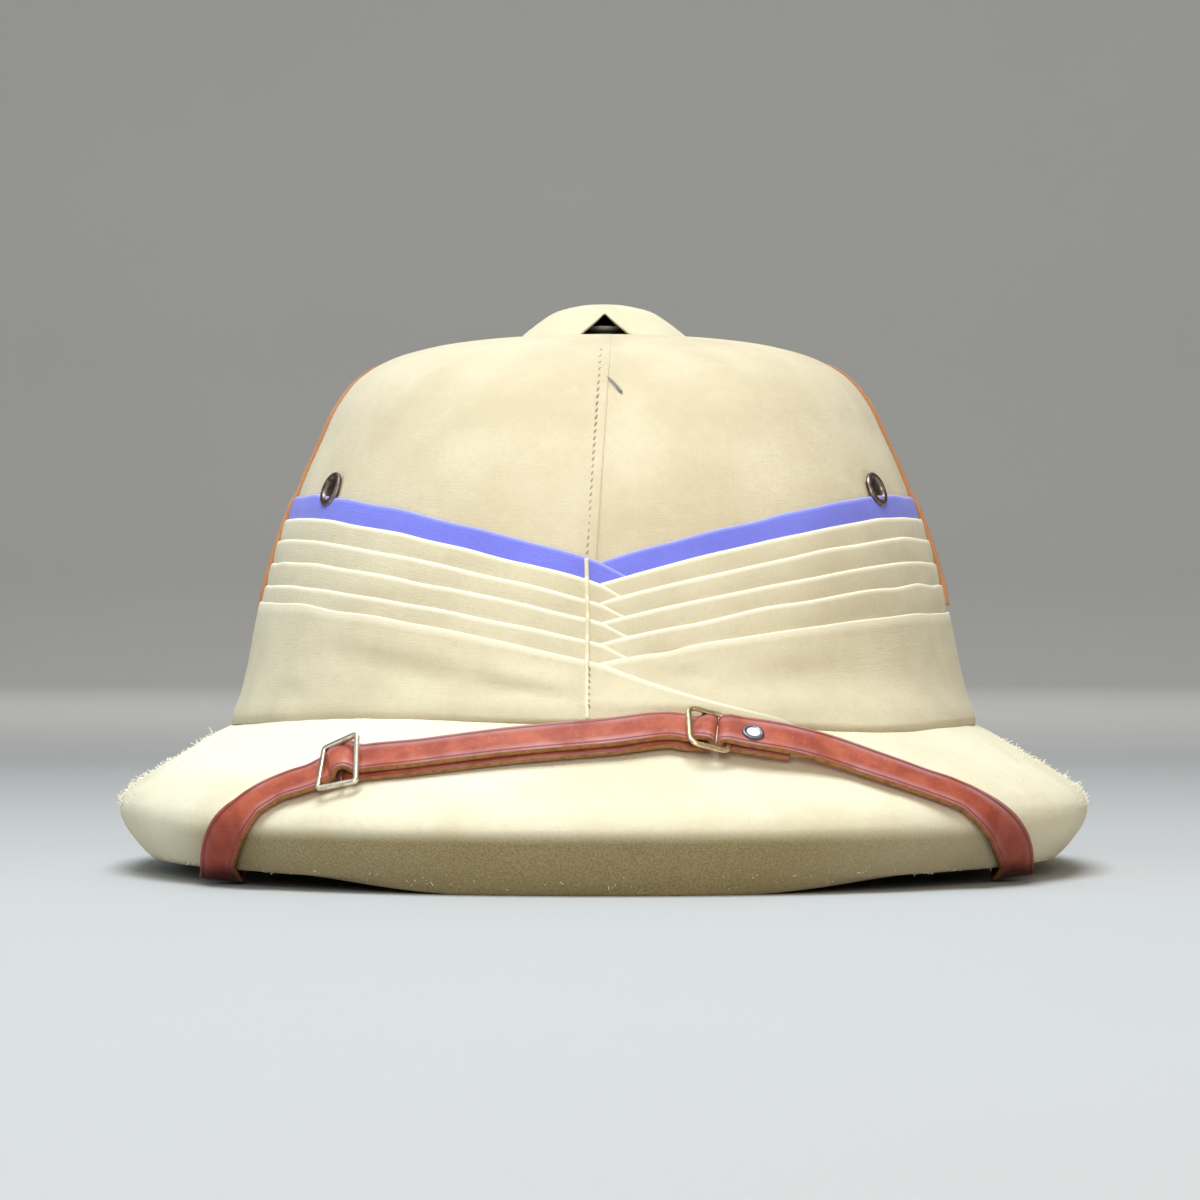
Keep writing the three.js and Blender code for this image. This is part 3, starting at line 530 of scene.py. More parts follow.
def fold_edge(wind, left, front, right, seed):
    """Height of a winding's upper edge, and how far its left part lies over its right part in front."""
    on_left = wind > -180
    apart = np.where(on_left, -(wind - V_MIDDLE), wind + 360 - V_MIDDLE)
    side = np.where(on_left, left, right)
    side = side + (left + right - 2 * side) / 2 * np.clip((apart - 100) / 80, 0, 1)
    dip = np.clip(1 - np.maximum(apart, 0) / V_SPREAD, 0, 1) ** V_POWER
    where = np.stack([apart / 9, np.where(on_left, 0, 40.0), np.full(len(wind), seed * 7.7)], -1)
    height = side - (side - front) * dip + np.minimum(apart, 0) * CROSS_SLOPE + 0.5 * wander(where, 1.0)
    return height, np.where(on_left, np.clip(1 - np.abs(apart) / LAYER_FADE, 0, 1), 0)


def foot_spread(above):
    """How much of the spread at its foot a winding has at a height above it."""
    return np.clip(1 - above / FOOT_SPREAD_HEIGHT, 0, 1) ** 1.5


def strip(name, wind, edge, offset, thickness, foot, bulge=0.25, creases=(), seed=0, flare=0.0):
    """A band of cloth on the crown from its folded upper edge down to a height."""
    half = thickness / 2
    turn = np.linspace(np.pi, 0, 7)
    reach = edge - foot
    down, out = [reach, reach * 0.5, reach * 0.15 + half], [0 * reach] * 3
    for t in turn:
        down.append(half - half * np.sin(t) + 0 * reach)
        out.append(half + half * np.cos(t) + 0 * reach)
    for share in np.linspace(0, 1, 13)[1:]:
        down.append(half + (reach - half) * share)
        out.append(thickness + bulge * np.sin(np.pi * min(1, share * 1.4)) + 0 * reach)
    down.append(reach)
    out.append(0 * reach)
    height = edge - np.array(down)
    out = np.array(out) + flare * foot_spread(reach - np.array(down))
    radius = crown_radius(wind[None], height) + offset - thickness + out
    points = polar(np.broadcast_to(wind, height.shape), radius, height)
    face = np.arange(len(down))[:, None] > 6
    ripple = 0.14 * wander(points * [1, 1, 3], 16, seed) + 0.06 * wander(points, 4, seed + 3)
    for (x1, z1), (x2, z2), width, depth in creases:
        run = np.array([x2 - x1, z2 - z1])
        share = ((points[..., [0, 2]] - [x1, z1]) @ run / (run @ run)).clip(0, 1)
        far = points[..., [0, 2]] - [x1, z1] - share[..., None] * run
        away = np.sign(far[..., 1]) * np.linalg.norm(far, axis=-1) / width
        taper = np.sin(np.pi * (0.12 + 0.76 * share))
        dent = -np.exp(-(away**2)) + 0.6 * np.exp(-((away - 1.6) ** 2))
        ripple = ripple + depth * taper * dent * (points[..., 1] < -20)
    # Tone 1 along the folded upper edge marks where the material paints a highlight.
    fold_highlight_share = np.clip(1.6 - np.array(down) / half, 0, 1) * np.clip(reach / 4 - 0.3, 0, 1)
    return surface(name, polar(np.broadcast_to(wind, height.shape), radius + ripple * face, height), fold_highlight_share)


def foot_sag(angle):
    near = (np.asarray(angle) + 180) % 360 - 180
    return 3.5 * np.exp(-(((near - 33) / 23) ** 2)) + 1.7 * np.exp(-(((near + 8) / 14) ** 2))


def wrap_foot(angle):
    """Height at which the wide wrap meets the brim. It sags in front, more to the right."""
    return level(angle, 42.5, 47.3, 43.6) - foot_sag(angle)


windings = []
for i, (left, front, right, offset) in enumerate(FOLDS):
    wind = wound(LEFT_END, RIGHT_END)
    edge, over = fold_edge(wind, left, front, right, i)
    lifted = offset + LAYER_LIFT * over
    windings.append(strip("fold", wind, edge, lifted, FOLD_THICKNESS, edge - FOLD_REACH, seed=i + 10))
wind = wound(FLAP_END, RIGHT_END, 1.0)
edge, over = fold_edge(wind, *WRAP[:3], 9)
past = np.maximum(wind - V_MIDDLE, 0)
slant = WRAP[1] - 0.87 * past + 0.0085 * past**2
edge = np.where(wind > V_MIDDLE, slant, edge)
over = np.where(wind > V_MIDDLE, np.clip((FLAP_END - wind) / 2.5 - 0.8, -0.8, 1), over)
edge = np.maximum(edge, wrap_foot(wind) + 0.6)
lifted = WRAP[3] + WRAP_LIFT * over
spread = foot_sag(wind) / FOOT_SLOPE
windings.append(strip("wrap", wind, edge, lifted, WRAP_THICKNESS, wrap_foot(wind), 0.3, CREASES, 20, spread))
puggaree = join("puggaree_cloth", windings)
# The third colour is a painted highlight along each fold's upper edge.
scarf_light, scarf_dark, scarf_fold_highlight = (0.69, 0.6, 0.405, 1), (0.585, 0.5, 0.325, 1), (0.92, 0.84, 0.63, 1)
scarf_khaki = cloth("khaki_scarf_cotton", scarf_light, scarf_dark, 0.5, 0.6, scarf_fold_highlight)
finish_piece(puggaree, scarf_khaki, "khaki_puggaree", "puggaree", "puggaree_end")

# Blue stripe: the uppermost fold of the scarf, a separate strip of blue cotton under the first khaki one.
# It crosses in front in the same way, and the eyelets' rims bite its upper edge.
wind = wound(LEFT_END, RIGHT_END)
edge, over = fold_edge(wind, *STRIPE[:3], 30)
lifted = STRIPE[3] + STRIPE_LIFT * over
stripe = strip("blue_stripe", wind, edge, lifted, STRIPE_THICKNESS, edge - STRIPE_REACH, 0.1, seed=31)
# The paler blue is a painted highlight along the stripe's folded upper edge.
blue = cloth("blue_cotton", (0.205, 0.215, 0.74, 1), (0.172, 0.178, 0.64, 1), 0.5, 0.5, (0.38, 0.39, 0.9, 1))
finish_piece(stripe, blue, "blue_cloth", "stripe")

# Tacking cord: a thin cream cord laid straight down over the crossing, from the blue stripe to the brim.
# It is cotton and couched down with small dark stitches near its foot.
CORD_RADIUS = 0.6
heights = np.arange(90.2, 46.2, -0.6)
x = np.interp(heights, [48, 62, 74, 90], [-4.1, -4.4, -4.4, -5.0])
angle = np.degrees(x / 121)
lift = np.full(len(heights), 0.3)
layers = [(STRIPE[1], STRIPE[3] + STRIPE_LIFT)]
layers += [(fold[1], fold[3] + LAYER_LIFT) for fold in FOLDS]
layers += [(WRAP[1], WRAP[3] + WRAP_LIFT)]
for front, offset in layers:
    lift = np.where(heights < front + 1.3, offset, lift)
lift = np.convolve(np.pad(lift, 1, "edge"), [0.25, 0.5, 0.25], "valid")
lift = lift + foot_sag(angle) / FOOT_SLOPE * foot_spread(heights - wrap_foot(angle))
path = polar(angle, crown_radius(angle, heights) + lift + 0.25, heights)
_, (_, crease_height), width, depth = CREASES[1]
path[:, 1] += 0.5 * depth * np.exp(-(((heights - crease_height) / width) ** 2))
cord = tube("tacking_cord", path, CORD_RADIUS, 10)
cream = cloth("cream_cord", (0.86, 0.78, 0.56, 1), (0.74, 0.65, 0.43, 1), 0.8)
finish_piece(cord, cream, "khaki_puggaree", "puggaree")
couching = []
for height in np.arange(60, 48.6, -1.7):
    at = path[np.argmin(abs(heights - height))]
    couching.append(stitch("couching", at + [0.62, -0.35, 0], np.array([0.35, 0, -0.94]), 1.3, 0.24))
couching = join("cord_stitching", couching)
finish_piece(couching, thread, "khaki_puggaree", "puggaree")

# Ventilator collar: a spun metal tube with a rolled lip, pressed into the hole at the top of the crown.
# Air leaves through it, and only its lip is seen through the cap's opening.
COLLAR = [  # radius and height
    (7.2, 149), (7.2, 160.2), (7.6, 160.6), (8.2, 160.6), (8.7, 160.1), (9.2, 158.9),
    (10.6, 158.5), (11, 158), (11, 157.4), (8.7, 157.3), (8.7, 149), (7.2, 149),
]
COLLAR_LIP_HIGHLIGHT = [0, 0, 1, 1, 0.8] + [0] * 7  # the share of the lip's painted highlight, a pale matt colour, at each point


def lathe(name, profile, middle, out, side, sides=48, tone=None):
    """A turned piece: (radius, height) pairs drawn by extruding a point, then spun about the axis."""
    middle, profile = np.array(middle, float), np.array(profile, float)
    places = (middle + profile[:, :1] * side + profile[:, 1:] * out) * MM
    bpy.ops.object.select_all(action="DESELECT")
    bpy.ops.mesh.primitive_plane_add(size=0.001)
    made = bpy.context.object
    made.name = name
    bpy.ops.object.mode_set(mode="EDIT")
    bpy.ops.mesh.select_all(action="SELECT")
    bpy.ops.mesh.merge(type="CENTER")
    bpy.ops.transform.translate(value=Vector(places[0]))
    for step in np.diff(places, axis=0):
        bpy.ops.mesh.extrude_vertices_move(TRANSFORM_OT_translate={"value": Vector(step)})
    bpy.ops.mesh.select_all(action="SELECT")
    bpy.ops.mesh.spin(steps=sides, angle=2 * math.pi, center=Vector(middle * MM), axis=Vector(out))
    close_up()
    if tone is not None:
        away = np.empty(len(made.data.vertices) * 3)
        made.data.vertices.foreach_get("co", away)
        away = away.reshape(-1, 3) / MM - middle
        height = away @ out
        radius = np.linalg.norm(away - height[:, None] * out, axis=1)
        nearest = np.hypot(radius[:, None] - profile[:, 0], height[:, None] - profile[:, 1]).argmin(1)
        give_tone(made, np.array(tone, float)[nearest])
    return made


def metal(name, light, dark, roughness, painted_light=None):
    """Polished metal dulled in patches. Where the piece's tone is 1 it takes the painted light colour, matt:
    painted shade on some pieces and a painted highlight on others.
    """
    material, tree, shader = new_material(name)
    coords = node(tree, "ShaderNodeTexCoord").outputs
    patch = between(tree, lumps(tree, coords["Object"], 420, 5.0, 0.65), 0.38, 0.66)
    colour = mix(tree, patch, light, dark)
    plug(tree, shader, {"Metallic": 1.0})
    if painted_light:
        tone = node(tree, "ShaderNodeAttribute", attribute_name="tone").outputs["Fac"]
        colour = mix(tree, tone, colour, painted_light)
        plug(tree, shader, {"Metallic": maths(tree, "SUBTRACT", 1.0, tone)})
    dull = node(tree, "ShaderNodeMapRange", {"Value": patch, "To Min": roughness, "To Max": roughness + 0.2})
    scratch = lumps(tree, coords["Object"], 1800, 2.0)
    bump = node(tree, "ShaderNodeBump", {"Height": scratch, "Strength": 0.2, "Distance": 0.00008})
    plug(tree, shader, {"Base Color": colour, "Roughness": dull.outputs[0], "Normal": bump.outputs[0]})
    return material


UP, RIGHT = np.array([0.0, 0, 1]), np.array([1.0, 0, 0])
collar = lathe("ventilator_collar", COLLAR, (0, CENTRE_Y, 0), UP, RIGHT, 48, COLLAR_LIP_HIGHLIGHT)
plain_metal = metal("plain_metal", (0.3, 0.3, 0.28, 1), (0.16, 0.16, 0.15, 1), 0.4, (0.95, 0.9, 0.76, 1))
finish_piece(collar, plain_metal, "plain_metal", "ventilator_collar")

# Ventilator cap: a small pith dome under the same khaki cotton, sewn down round its rim.
# Its front is cut up into a peaked opening that faces forwards, and its inner face is painted near black as
# shade.
CAP_PROFILE = [  # radius and height
    (0.0, 167.6), (7, 166.9), (14.5, 164.9), (18.4, 162.5), (21.4, 160.3), (24, 158.2), (25.4, 156.9),
]
CAP_WALL = 2.0
CAP_RINGS = 26
NOTCH_HALF_TURN = 17.0
NOTCH_HEIGHT = 7.0
across, tall = np.array(CAP_PROFILE).T
places = np.linspace(0, len(CAP_PROFILE) - 1, 61)
dome = smooth_rows(np.stack([across, across, across, tall, tall, tall], 1), places)[:, [0, 3]]
notch_turns = np.linspace(-NOTCH_HALF_TURN, NOTCH_HALF_TURN, 45)
turns = np.sort(np.concatenate([np.arange(-180, 180.1, 6), notch_turns]))
peak = np.clip(1.05 - np.hypot((turns - 1) / NOTCH_HALF_TURN, 0.07), 0, 1)
rim = CAP_PROFILE[-1][1] + NOTCH_HEIGHT * peak**0.85
stop = np.interp(rim, dome[::-1, 1], np.arange(len(dome))[::-1])
outer, inner = [], []
for share in np.linspace(0, 1, CAP_RINGS):
    at = share * stop
    wide = np.interp(at, np.arange(len(dome)), dome[:, 0])
    high = np.interp(at, np.arange(len(dome)), dome[:, 1])
    outer.append(polar(turns, wide, high))
    thin = CAP_WALL * np.clip(wide / 8, 0, 1)
    under = np.where(share < 1, CAP_WALL * 0.75, 0) * (1 - 0.6 * share)
    inner.append(polar(turns, np.maximum(0, wide - thin * 0.8), high - under))
rounding = (outer[-1] + inner[-1]) / 2 - [0, 0, 0.25]
points = np.array(outer + [rounding] + inner[::-1])
points[:CAP_RINGS] += 0.16 * wander(points[:CAP_RINGS], 9, 50)[..., None] * np.array([0, 0, 1.0])
tone = np.zeros(points.shape[:2])
tone[CAP_RINGS + 2 :] = 1
cap = surface("ventilator_cap", points, tone)
cap_khaki = cloth("khaki_cap_cotton", (0.74, 0.665, 0.47, 1), (0.66, 0.58, 0.385, 1), 0.5, 0.8)
tree = cap_khaki.node_tree
shader = tree.nodes["Principled BSDF"]
# Painted shade: the inner face, where tone is 1, is mixed to near black.
inside = node(tree, "ShaderNodeAttribute", attribute_name="tone").outputs["Fac"]
plain = shader.inputs["Base Color"].links[0].from_socket
plug(tree, shader, {"Base Color": mix(tree, inside, plain, (0.035, 0.025, 0.018, 1))})
finish_piece(cap, cap_khaki, "khaki_cover", "ventilator_cap")

# Eyelets: two brass grommets that let air in at the sides, darkened with age.
# Each is clinched through the cover and the shell, with its rim over the blue stripe's upper edge.
EYELET = [  # radius and distance from the crown's face
    (3.1, -9), (3.1, 0.3), (3.2, 1.0), (3.5, 1.6), (4.1, 1.85), (4.7, 1.75), (5.1, 1.45),
    (5.25, 1.0), (5.2, 0.7), (3.35, 0.5), (3.35, -9), (0, -9), (0, -7.5), (3.1, -7.5),
]
EYELET_SHADE = [1, 0.7, 0.1] + [0] * 7 + [1] * 4  # the share of the painted shade, near black, at each point: in the bore and on the disc that closes it
aged_brass = metal("aged_brass", (0.3, 0.235, 0.19, 1), (0.1, 0.07, 0.06, 1), 0.34, (0.03, 0.014, 0.009, 1))
for side_name, turn in (("left", -EYELET_ANGLE), ("right", EYELET_ANGLE)):
    middle, out, side, up = frame_on_crown(turn, EYELET_HEIGHT)
    eyelet = lathe("eyelet_" + side_name + "_rim", EYELET, middle, out, side, 40, EYELET_SHADE)
    finish_piece(eyelet, aged_brass, "brass", "eyelet_" + side_name)

# Side bands: narrow straps of tan cloth down the two sides of the crown, over the folds.
# Each is stitched down at the top and reaches to the wide wrap's edge at its foot.
BAND_LEFT, BAND_RIGHT, BAND_HALF_TURN = -91.5, 87.5, 5.4  # degrees from the front
BAND_TOP, BAND_FOOT = 149.2, 77.6
BAND_THICKNESS = 1.3
tan = cloth("tan_cloth", (0.52, 0.25, 0.115, 1), (0.4, 0.18, 0.08, 1), 0.7)
half_section = [(-1, -0.8), (-1, 0.4), (-0.97, 0.8), (-0.88, 1), (-0.4, 1.06)]
section = half_section + [(0, 1.08)] + [(-a, b) for a, b in half_section[::-1]] + [(0, -0.8), (-1, -0.8)]
for side_name, turn in (("left", BAND_LEFT), ("right", BAND_RIGHT)):
    heights = np.linspace(BAND_FOOT, BAND_TOP, 60)
    edges = [STRIPE] + FOLDS
    top = np.array([e[0] if turn < 0 else e[2] for e in edges])
    offsets = np.array([e[3] for e in edges])
    steps = np.concatenate([top[::-1] - 1, [top[0] + 2.5]])
    lift = np.interp(heights, steps, np.concatenate([offsets[::-1], [0.1]])) + 0.05
    points = []
    for height, rise in zip(heights, lift):
        fade = min(1, (BAND_TOP - height + 0.5) / 2.5)
        ring = []
        for across, out in section:
            angle = turn + across * BAND_HALF_TURN
            radius = crown_radius(angle, height) + rise * fade + out * BAND_THICKNESS
            ring.append(polar(angle, radius, height).reshape(3))
        points.append(ring)
    band = surface("side_band_" + side_name + "_cloth", np.array(points))
    finish_piece(band, tan, "tan_cloth", "side_band_" + side_name)

# Chin strap, left part: a 12 mm strap of red-brown leather with creased edges, laid up over the brim.
# It rises from a stud inside the head opening, runs through the left buckle to the right buckle,
# turns round its bar and comes back behind itself.
STRAP_WIDTH, STRAP_THICKNESS = 12.0, 1.8
LAYER = STRAP_THICKNESS + 0.3
REAR_DROP = 0.8
ROUTE = np.array([  # angle, row of the brim's table, height of mid leather above it, lean in degrees
    (-55, 15.85, 1.7, 0), (-53, 15.15, 3.4, 0), (-49.5, 14, 5, 0), (-46.5, 12.2, 3.1, 0),
    (-46.1, 10.7, 1.75, 0), (-44.1, 9.66, 2.1, 0), (-41.4, 7.87, 1.7, 0), (-38.8, 6.61, 1.6, 0),
    (-36.6, 5.4, 1.9, 0), (-35.2, 4.33, 2, 1.5), (-32.8, 3.45, 2.4, 4), (-29.6, 2.97, 3.2, 6.5),
    (-26.7, 2.58, 4.1, 8), (-18.7, 2.23, 4.2, 5), (-9.3, 1.9, 4.6, 4.5), (0.2, 1.7, 4.8, 4),
    (7.3, 1.52, 4.8, 3), (11, 1.7, 4.8, 4), (16.3, 1.88, 4.6, 9), (23.9, 2.19, 3.85, 12),
    (28.8, 2.69, 3.3, 10.5), (33.1, 3.25, 2.6, 7.4), (36.7, 4.02, 2.3, 4), (39.7, 5.3, 1.9, 1),
    (43.1, 6.7, 1.6, 0), (47, 8.01, 1.8, 0), (49.9, 9.4, 1.9, 0), (52.4, 10.6, 1.95, 0),
    (52.8, 12.2, 2.7, 0), (56.8, 14, 5, 0), (60.8, 15.15, 3.4, 0), (62.8, 15.85, 1.7, 0),
])
LEFT_BUCKLE_STATION, RIGHT_BUCKLE_STATION = 12, 17
NORMAL_REACH = 0.4
# Each bend at a buckle: distance from the buckle's middle, height above the strap's line, and drop across it.
CLIMB = [(-5.2, 0, 0), (-4.2, 0.2, 0), (-3.3, 0.9, 0), (-2.4, 1.8, 0), (-1.3, 2.3, 0)]
LOW_CLIMB = [(-5.2, 0, 0), (-4, 0.3, 0), (-3, 1.0, 0), (-2, 1.7, 0), (-1.2, 1.95, 0)]
DOUBLE_BACK = [
    (-0.3, 2, 0), (0.6, 1.9, 0), (1.2, 1.3, 0), (1.35, 0.3, 0),
    (1, -0.9, 0), (0, -1.8, -0.1), (-1.8, -LAYER, -0.3),
]


def on_brim(angle, row):
    return brim_ring(np.array([angle]), row)[0]


def unit(v):
    return v / np.linalg.norm(v)


stations, normals = [], []
for angle, row, lift, _ in ROUTE:
    along = on_brim(angle + NORMAL_REACH, row) - on_brim(angle - NORMAL_REACH, row)
    across = on_brim(angle, row - NORMAL_REACH) - on_brim(angle, min(row + NORMAL_REACH, 16))
    normals.append(unit(np.cross(along, across)))
    stations.append(on_brim(angle, row) + normals[-1] * lift)
stations, normals = np.array(stations), np.array(normals)


def spline(knots, per_span):
    """A smooth line through the knots, with the share of the way in knots beside each point."""
    knots = np.array(knots, float)
    ends = np.concatenate([[2 * knots[0] - knots[1]], knots, [2 * knots[-1] - knots[-2]]])
    line, share = [], []
    for i in range(len(knots) - 1):
        p = ends[i : i + 4]
        gaps = np.maximum(1e-4, np.linalg.norm(np.diff(p, axis=0), axis=1))
        t = np.concatenate([[0], np.cumsum(gaps**0.5)])
        u = np.linspace(t[1], t[2], per_span, endpoint=False)[:, None]
        a = [((t[j + 1] - u) * p[j] + (u - t[j]) * p[j + 1]) / (t[j + 1] - t[j]) for j in range(3)]
        b = [((t[j + 2] - u) * a[j] + (u - t[j]) * a[j + 1]) / (t[j + 2] - t[j]) for j in range(2)]
        line.append(((t[2] - u) * b[0] + (u - t[1]) * b[1]) / (t[2] - t[1]))
        share.append(i + np.arange(per_span) / per_span)
    return np.concatenate(line + [knots[-1:]]), np.concatenate(share + [[len(knots) - 1]])


strap_line, strap_share = spline(stations, 40)
strap_far = np.concatenate([[0], np.cumsum(np.linalg.norm(np.diff(strap_line, axis=0), axis=1))])
strap_length = strap_far[-1]
left_at = np.interp(LEFT_BUCKLE_STATION, strap_share, strap_far)
right_at = np.interp(RIGHT_BUCKLE_STATION, strap_share, strap_far)


def strap_place(distance, height=0.0, drop=0.0):
    """A place along the strap's line, with the directions along it, across it and off the brim."""
    def on_line(d):
        return np.array([np.interp(d, strap_far, strap_line[:, k]) for k in range(3)])
    share = np.interp(distance, strap_far, strap_share)
    i = min(int(share), len(ROUTE) - 2)
    near = share - i
    along = unit(on_line(min(distance + 0.6, strap_length)) - on_line(max(distance - 0.6, 0)))
    across = unit(np.cross(normals[i] * (1 - near) + normals[i + 1] * near, along))
    lean = math.radians(ROUTE[i, 3] * (1 - near) + ROUTE[i + 1, 3] * near)
    across = across * math.cos(lean) + np.cross(along, across) * math.sin(lean)
    up = np.cross(along, across)
    return on_line(distance) + up * height - across * drop, along, across, up


def run(start, stop, step, height=0.0, drop=0.0):
    count = max(1, round(abs(stop - start) / step))
    return [(d, height, drop) for d in np.linspace(start, stop, count + 1)]


def bend(centre, table):
    return [(centre + d, height, drop) for d, height, drop in table]


def leather_band(name, table):
    """A strap of leather through a list of distances, heights and drops, creased along its rounded edges."""
    places = spline(table, 6)[0]
    stops = [strap_place(*place) for place in places]
    middle = np.array([s[0] for s in stops])
    across = np.array([s[2] for s in stops])
    ahead = np.gradient(middle, axis=0)
    face = np.cross(ahead, across)
    face /= np.linalg.norm(face, axis=1)[:, None]
    half, thick = STRAP_WIDTH / 2, STRAP_THICKNESS / 2
    side = [(-1, -0.45), (-1, 0.45), (-0.985, 0.75), (-0.95, 0.95), (-0.88, 1)]
    side += [(-0.82, 0.9), (-0.77, 0.88), (-0.7, 0.98), (-0.35, 1), (0, 1)]
    loop = side + [(-a, b) for a, b in side[-2::-1]]
    loop = loop + [(a * 0.99, -1) for a in (0.9, 0.45, 0, -0.45, -0.9)] + loop[:1]
    loop = np.array(loop)
    sideways = loop[None, :, :1] * half * across[:, None]
    points = middle[:, None] + sideways + loop[None, :, 1:] * thick * face[:, None]
    edge = np.where(np.abs(loop[:, 0]) > 0.97, 1.0, 0.0)
    crease = np.where(np.abs(np.abs(loop[:, 0]) - 0.795) < 0.05, 0.5, 0.0) * (loop[:, 1] > 0)
    # Tone 0.2 on the upper face near the edges marks where the material paints a lilac sheen.
    crease += np.where(np.isin(np.abs(loop[:, 0]), (0.7, 0.88, 0.95)), 0.2, 0.0) * (loop[:, 1] > 0)
    tone = np.broadcast_to(edge + crease, points.shape[:2]).copy()
    tone[[0, -1]] = 1
    return surface(name, points, tone)


def leather(name, light, dark, raw):
    """Strap leather with grain, scuffs and a dark crease line, raw where the tone is 1, with a painted lilac
    sheen near its edges and painted shade towards its lower ends.
    """
    material, tree, shader = new_material(name)
    coords = node(tree, "ShaderNodeTexCoord").outputs
    tone = node(tree, "ShaderNodeAttribute", attribute_name="tone").outputs["Fac"]
    cloudy = between(tree, lumps(tree, coords["Object"], 130, 5.0, 0.6), 0.3, 0.68)
    colour = mix(tree, cloudy, light, dark)
    scuffs = between(tree, lumps(tree, coords["Object"], 900, 3.0, 0.7), 0.58, 0.74)
    colour = stain(tree, colour, scuffs, 0.35, (0.72, 0.34, 0.27, 1))
    patches = between(tree, lumps(tree, coords["Object"], 70, 4.0), 0.35, 0.6)
    # Painted reflection: a lilac sheen in patches near the strap's edges.
    painted_sheen = times(tree, between(tree, tone, 0.0, 0.2), patches)
    colour = stain(tree, colour, painted_sheen, 0.6, (0.5, 0.25, 0.25, 1))
    crease = times(tree, between(tree, tone, 0.25, 0.45), between(tree, tone, 0.75, 0.55))
    colour = stain(tree, colour, crease, 0.75, (0.1, 0.028, 0.025, 1))
    height = node(tree, "ShaderNodeSeparateXYZ", {0: coords["Object"]}).outputs[2]
    # Painted shade: darker red-brown where the strap runs down the brim's turned-down edge, and near black
    # where it goes under the brim.
    colour = stain(tree, colour, between(tree, height, 0.026, 0.01), 0.7, (0.26, 0.042, 0.025, 1))
    colour = stain(tree, colour, between(tree, height, 0.0075, 0.0025), 0.8, (0.035, 0.012, 0.01, 1))
    frayed = between(tree, lumps(tree, coords["Object"], 500, 4.0, 0.7), 0.4, 0.66)
    cut_edge = stain(tree, raw, frayed, 0.6, (0.11, 0.04, 0.015, 1))
    colour = mix(tree, between(tree, tone, 0.72, 0.9), colour, cut_edge)
    fine = {"Vector": coords["Object"], "Scale": 1500}
    cells = node(tree, "ShaderNodeTexVoronoi", fine, feature="DISTANCE_TO_EDGE")
    grain = maths(tree, "MINIMUM", cells.outputs["Distance"], 0.2)
    grain = maths(tree, "ADD", grain, times(tree, lumps(tree, coords["Object"], 500, 4.0), 0.5))
    bump = node(tree, "ShaderNodeBump", {"Height": grain, "Strength": 0.35, "Distance": 0.0002})
    uneven = lumps(tree, coords["Object"], 260, 3.0)
    rough = node(tree, "ShaderNodeMapRange", {"Value": uneven, "To Min": 0.3, "To Max": 0.55})
    plug(tree, shader, {"Base Color": colour, "Roughness": rough.outputs[0], "Normal": bump.outputs[0]})
    polish = between(tree, height, 0.012, 0.028)
    shine = maths(tree, "ADD", times(tree, polish, 0.22), 0.06)
    coat = times(tree, polish, 0.06)
    plug(tree, shader, {"Specular IOR Level": shine, "Coat Weight": coat, "Coat Roughness": 0.3})
    return material


climb_down = [(-d, h, drop) for d, h, drop in CLIMB[::-1]]
table = run(0, left_at - 8, 4) + bend(left_at, CLIMB) + bend(left_at, climb_down)
table += run(left_at + 8, right_at - 8, 7) + bend(right_at, LOW_CLIMB) + bend(right_at, DOUBLE_BACK)
table += run(right_at - 4, left_at - 3.2, 7, -LAYER, REAR_DROP)
strap_left = leather_band("chin_strap_left_leather", table)
red_brown, darker, raw_edge = (0.47, 0.115, 0.062, 1), (0.32, 0.062, 0.036, 1), (0.33, 0.145, 0.042, 1)
red_leather = leather("red_brown_leather", red_brown, darker, raw_edge)
finish_piece(strap_left, red_leather, "strap_leather", "chin_strap_left")

# Chin strap, right part: the same leather, folded round the far bar of the right buckle.
# A tubular rivet holds its short tail, and it runs down over the brim to a stud inside.
FOLD_OVER = [
    (5, -0.8, 0), (4.1, -0.6, 0), (3.5, 0.1, 0), (3.4, 1, 0), (3.9, 1.9, 0),
    (4.9, 2.3, 0), (6.4, 2.3, 0), (8, 2.2, 0), (9.4, 2.12, 0),
]
EASE_DOWN = [(0, 1.9, 0), (6, 1.3, 0), (12, 0.65, 0), (18, 0.2, 0)]  # past the tail's end
TAIL_END, TAIL_HEIGHT, TAIL_DROP = 22.0, -0.5, -0.5
table = run(right_at + TAIL_END, right_at + 6.4, 4, TAIL_HEIGHT, TAIL_DROP) + bend(right_at, FOLD_OVER)
table += run(right_at + 11.2, right_at + 16, 4, LAYER)
table += bend(right_at + TAIL_END, EASE_DOWN)
table += run(right_at + TAIL_END + 24, strap_length, 4)
strap_right = leather_band("chin_strap_right_leather", table)
finish_piece(strap_right, red_leather, "strap_leather", "chin_strap_right")

# Left buckle: a flat stamped brass slide with a bar across its middle.
# The strap passes up through one window, over the bar and down through the other.
BUCKLE_LENGTH, BUCKLE_WIDTH = 12.4, 16.4
BUCKLE_BAR, BUCKLE_THICKNESS, BUCKLE_SEAT = 1.4, 1.2, 0.8
MIDDLE_BAR_RADIUS = 0.5
# Painted shade on the middle bars, which lie under the strap's arch, in the dark brown of the leather looped
# round them.
BAR_SHADE = (0.1, 0.04, 0.022, 1)


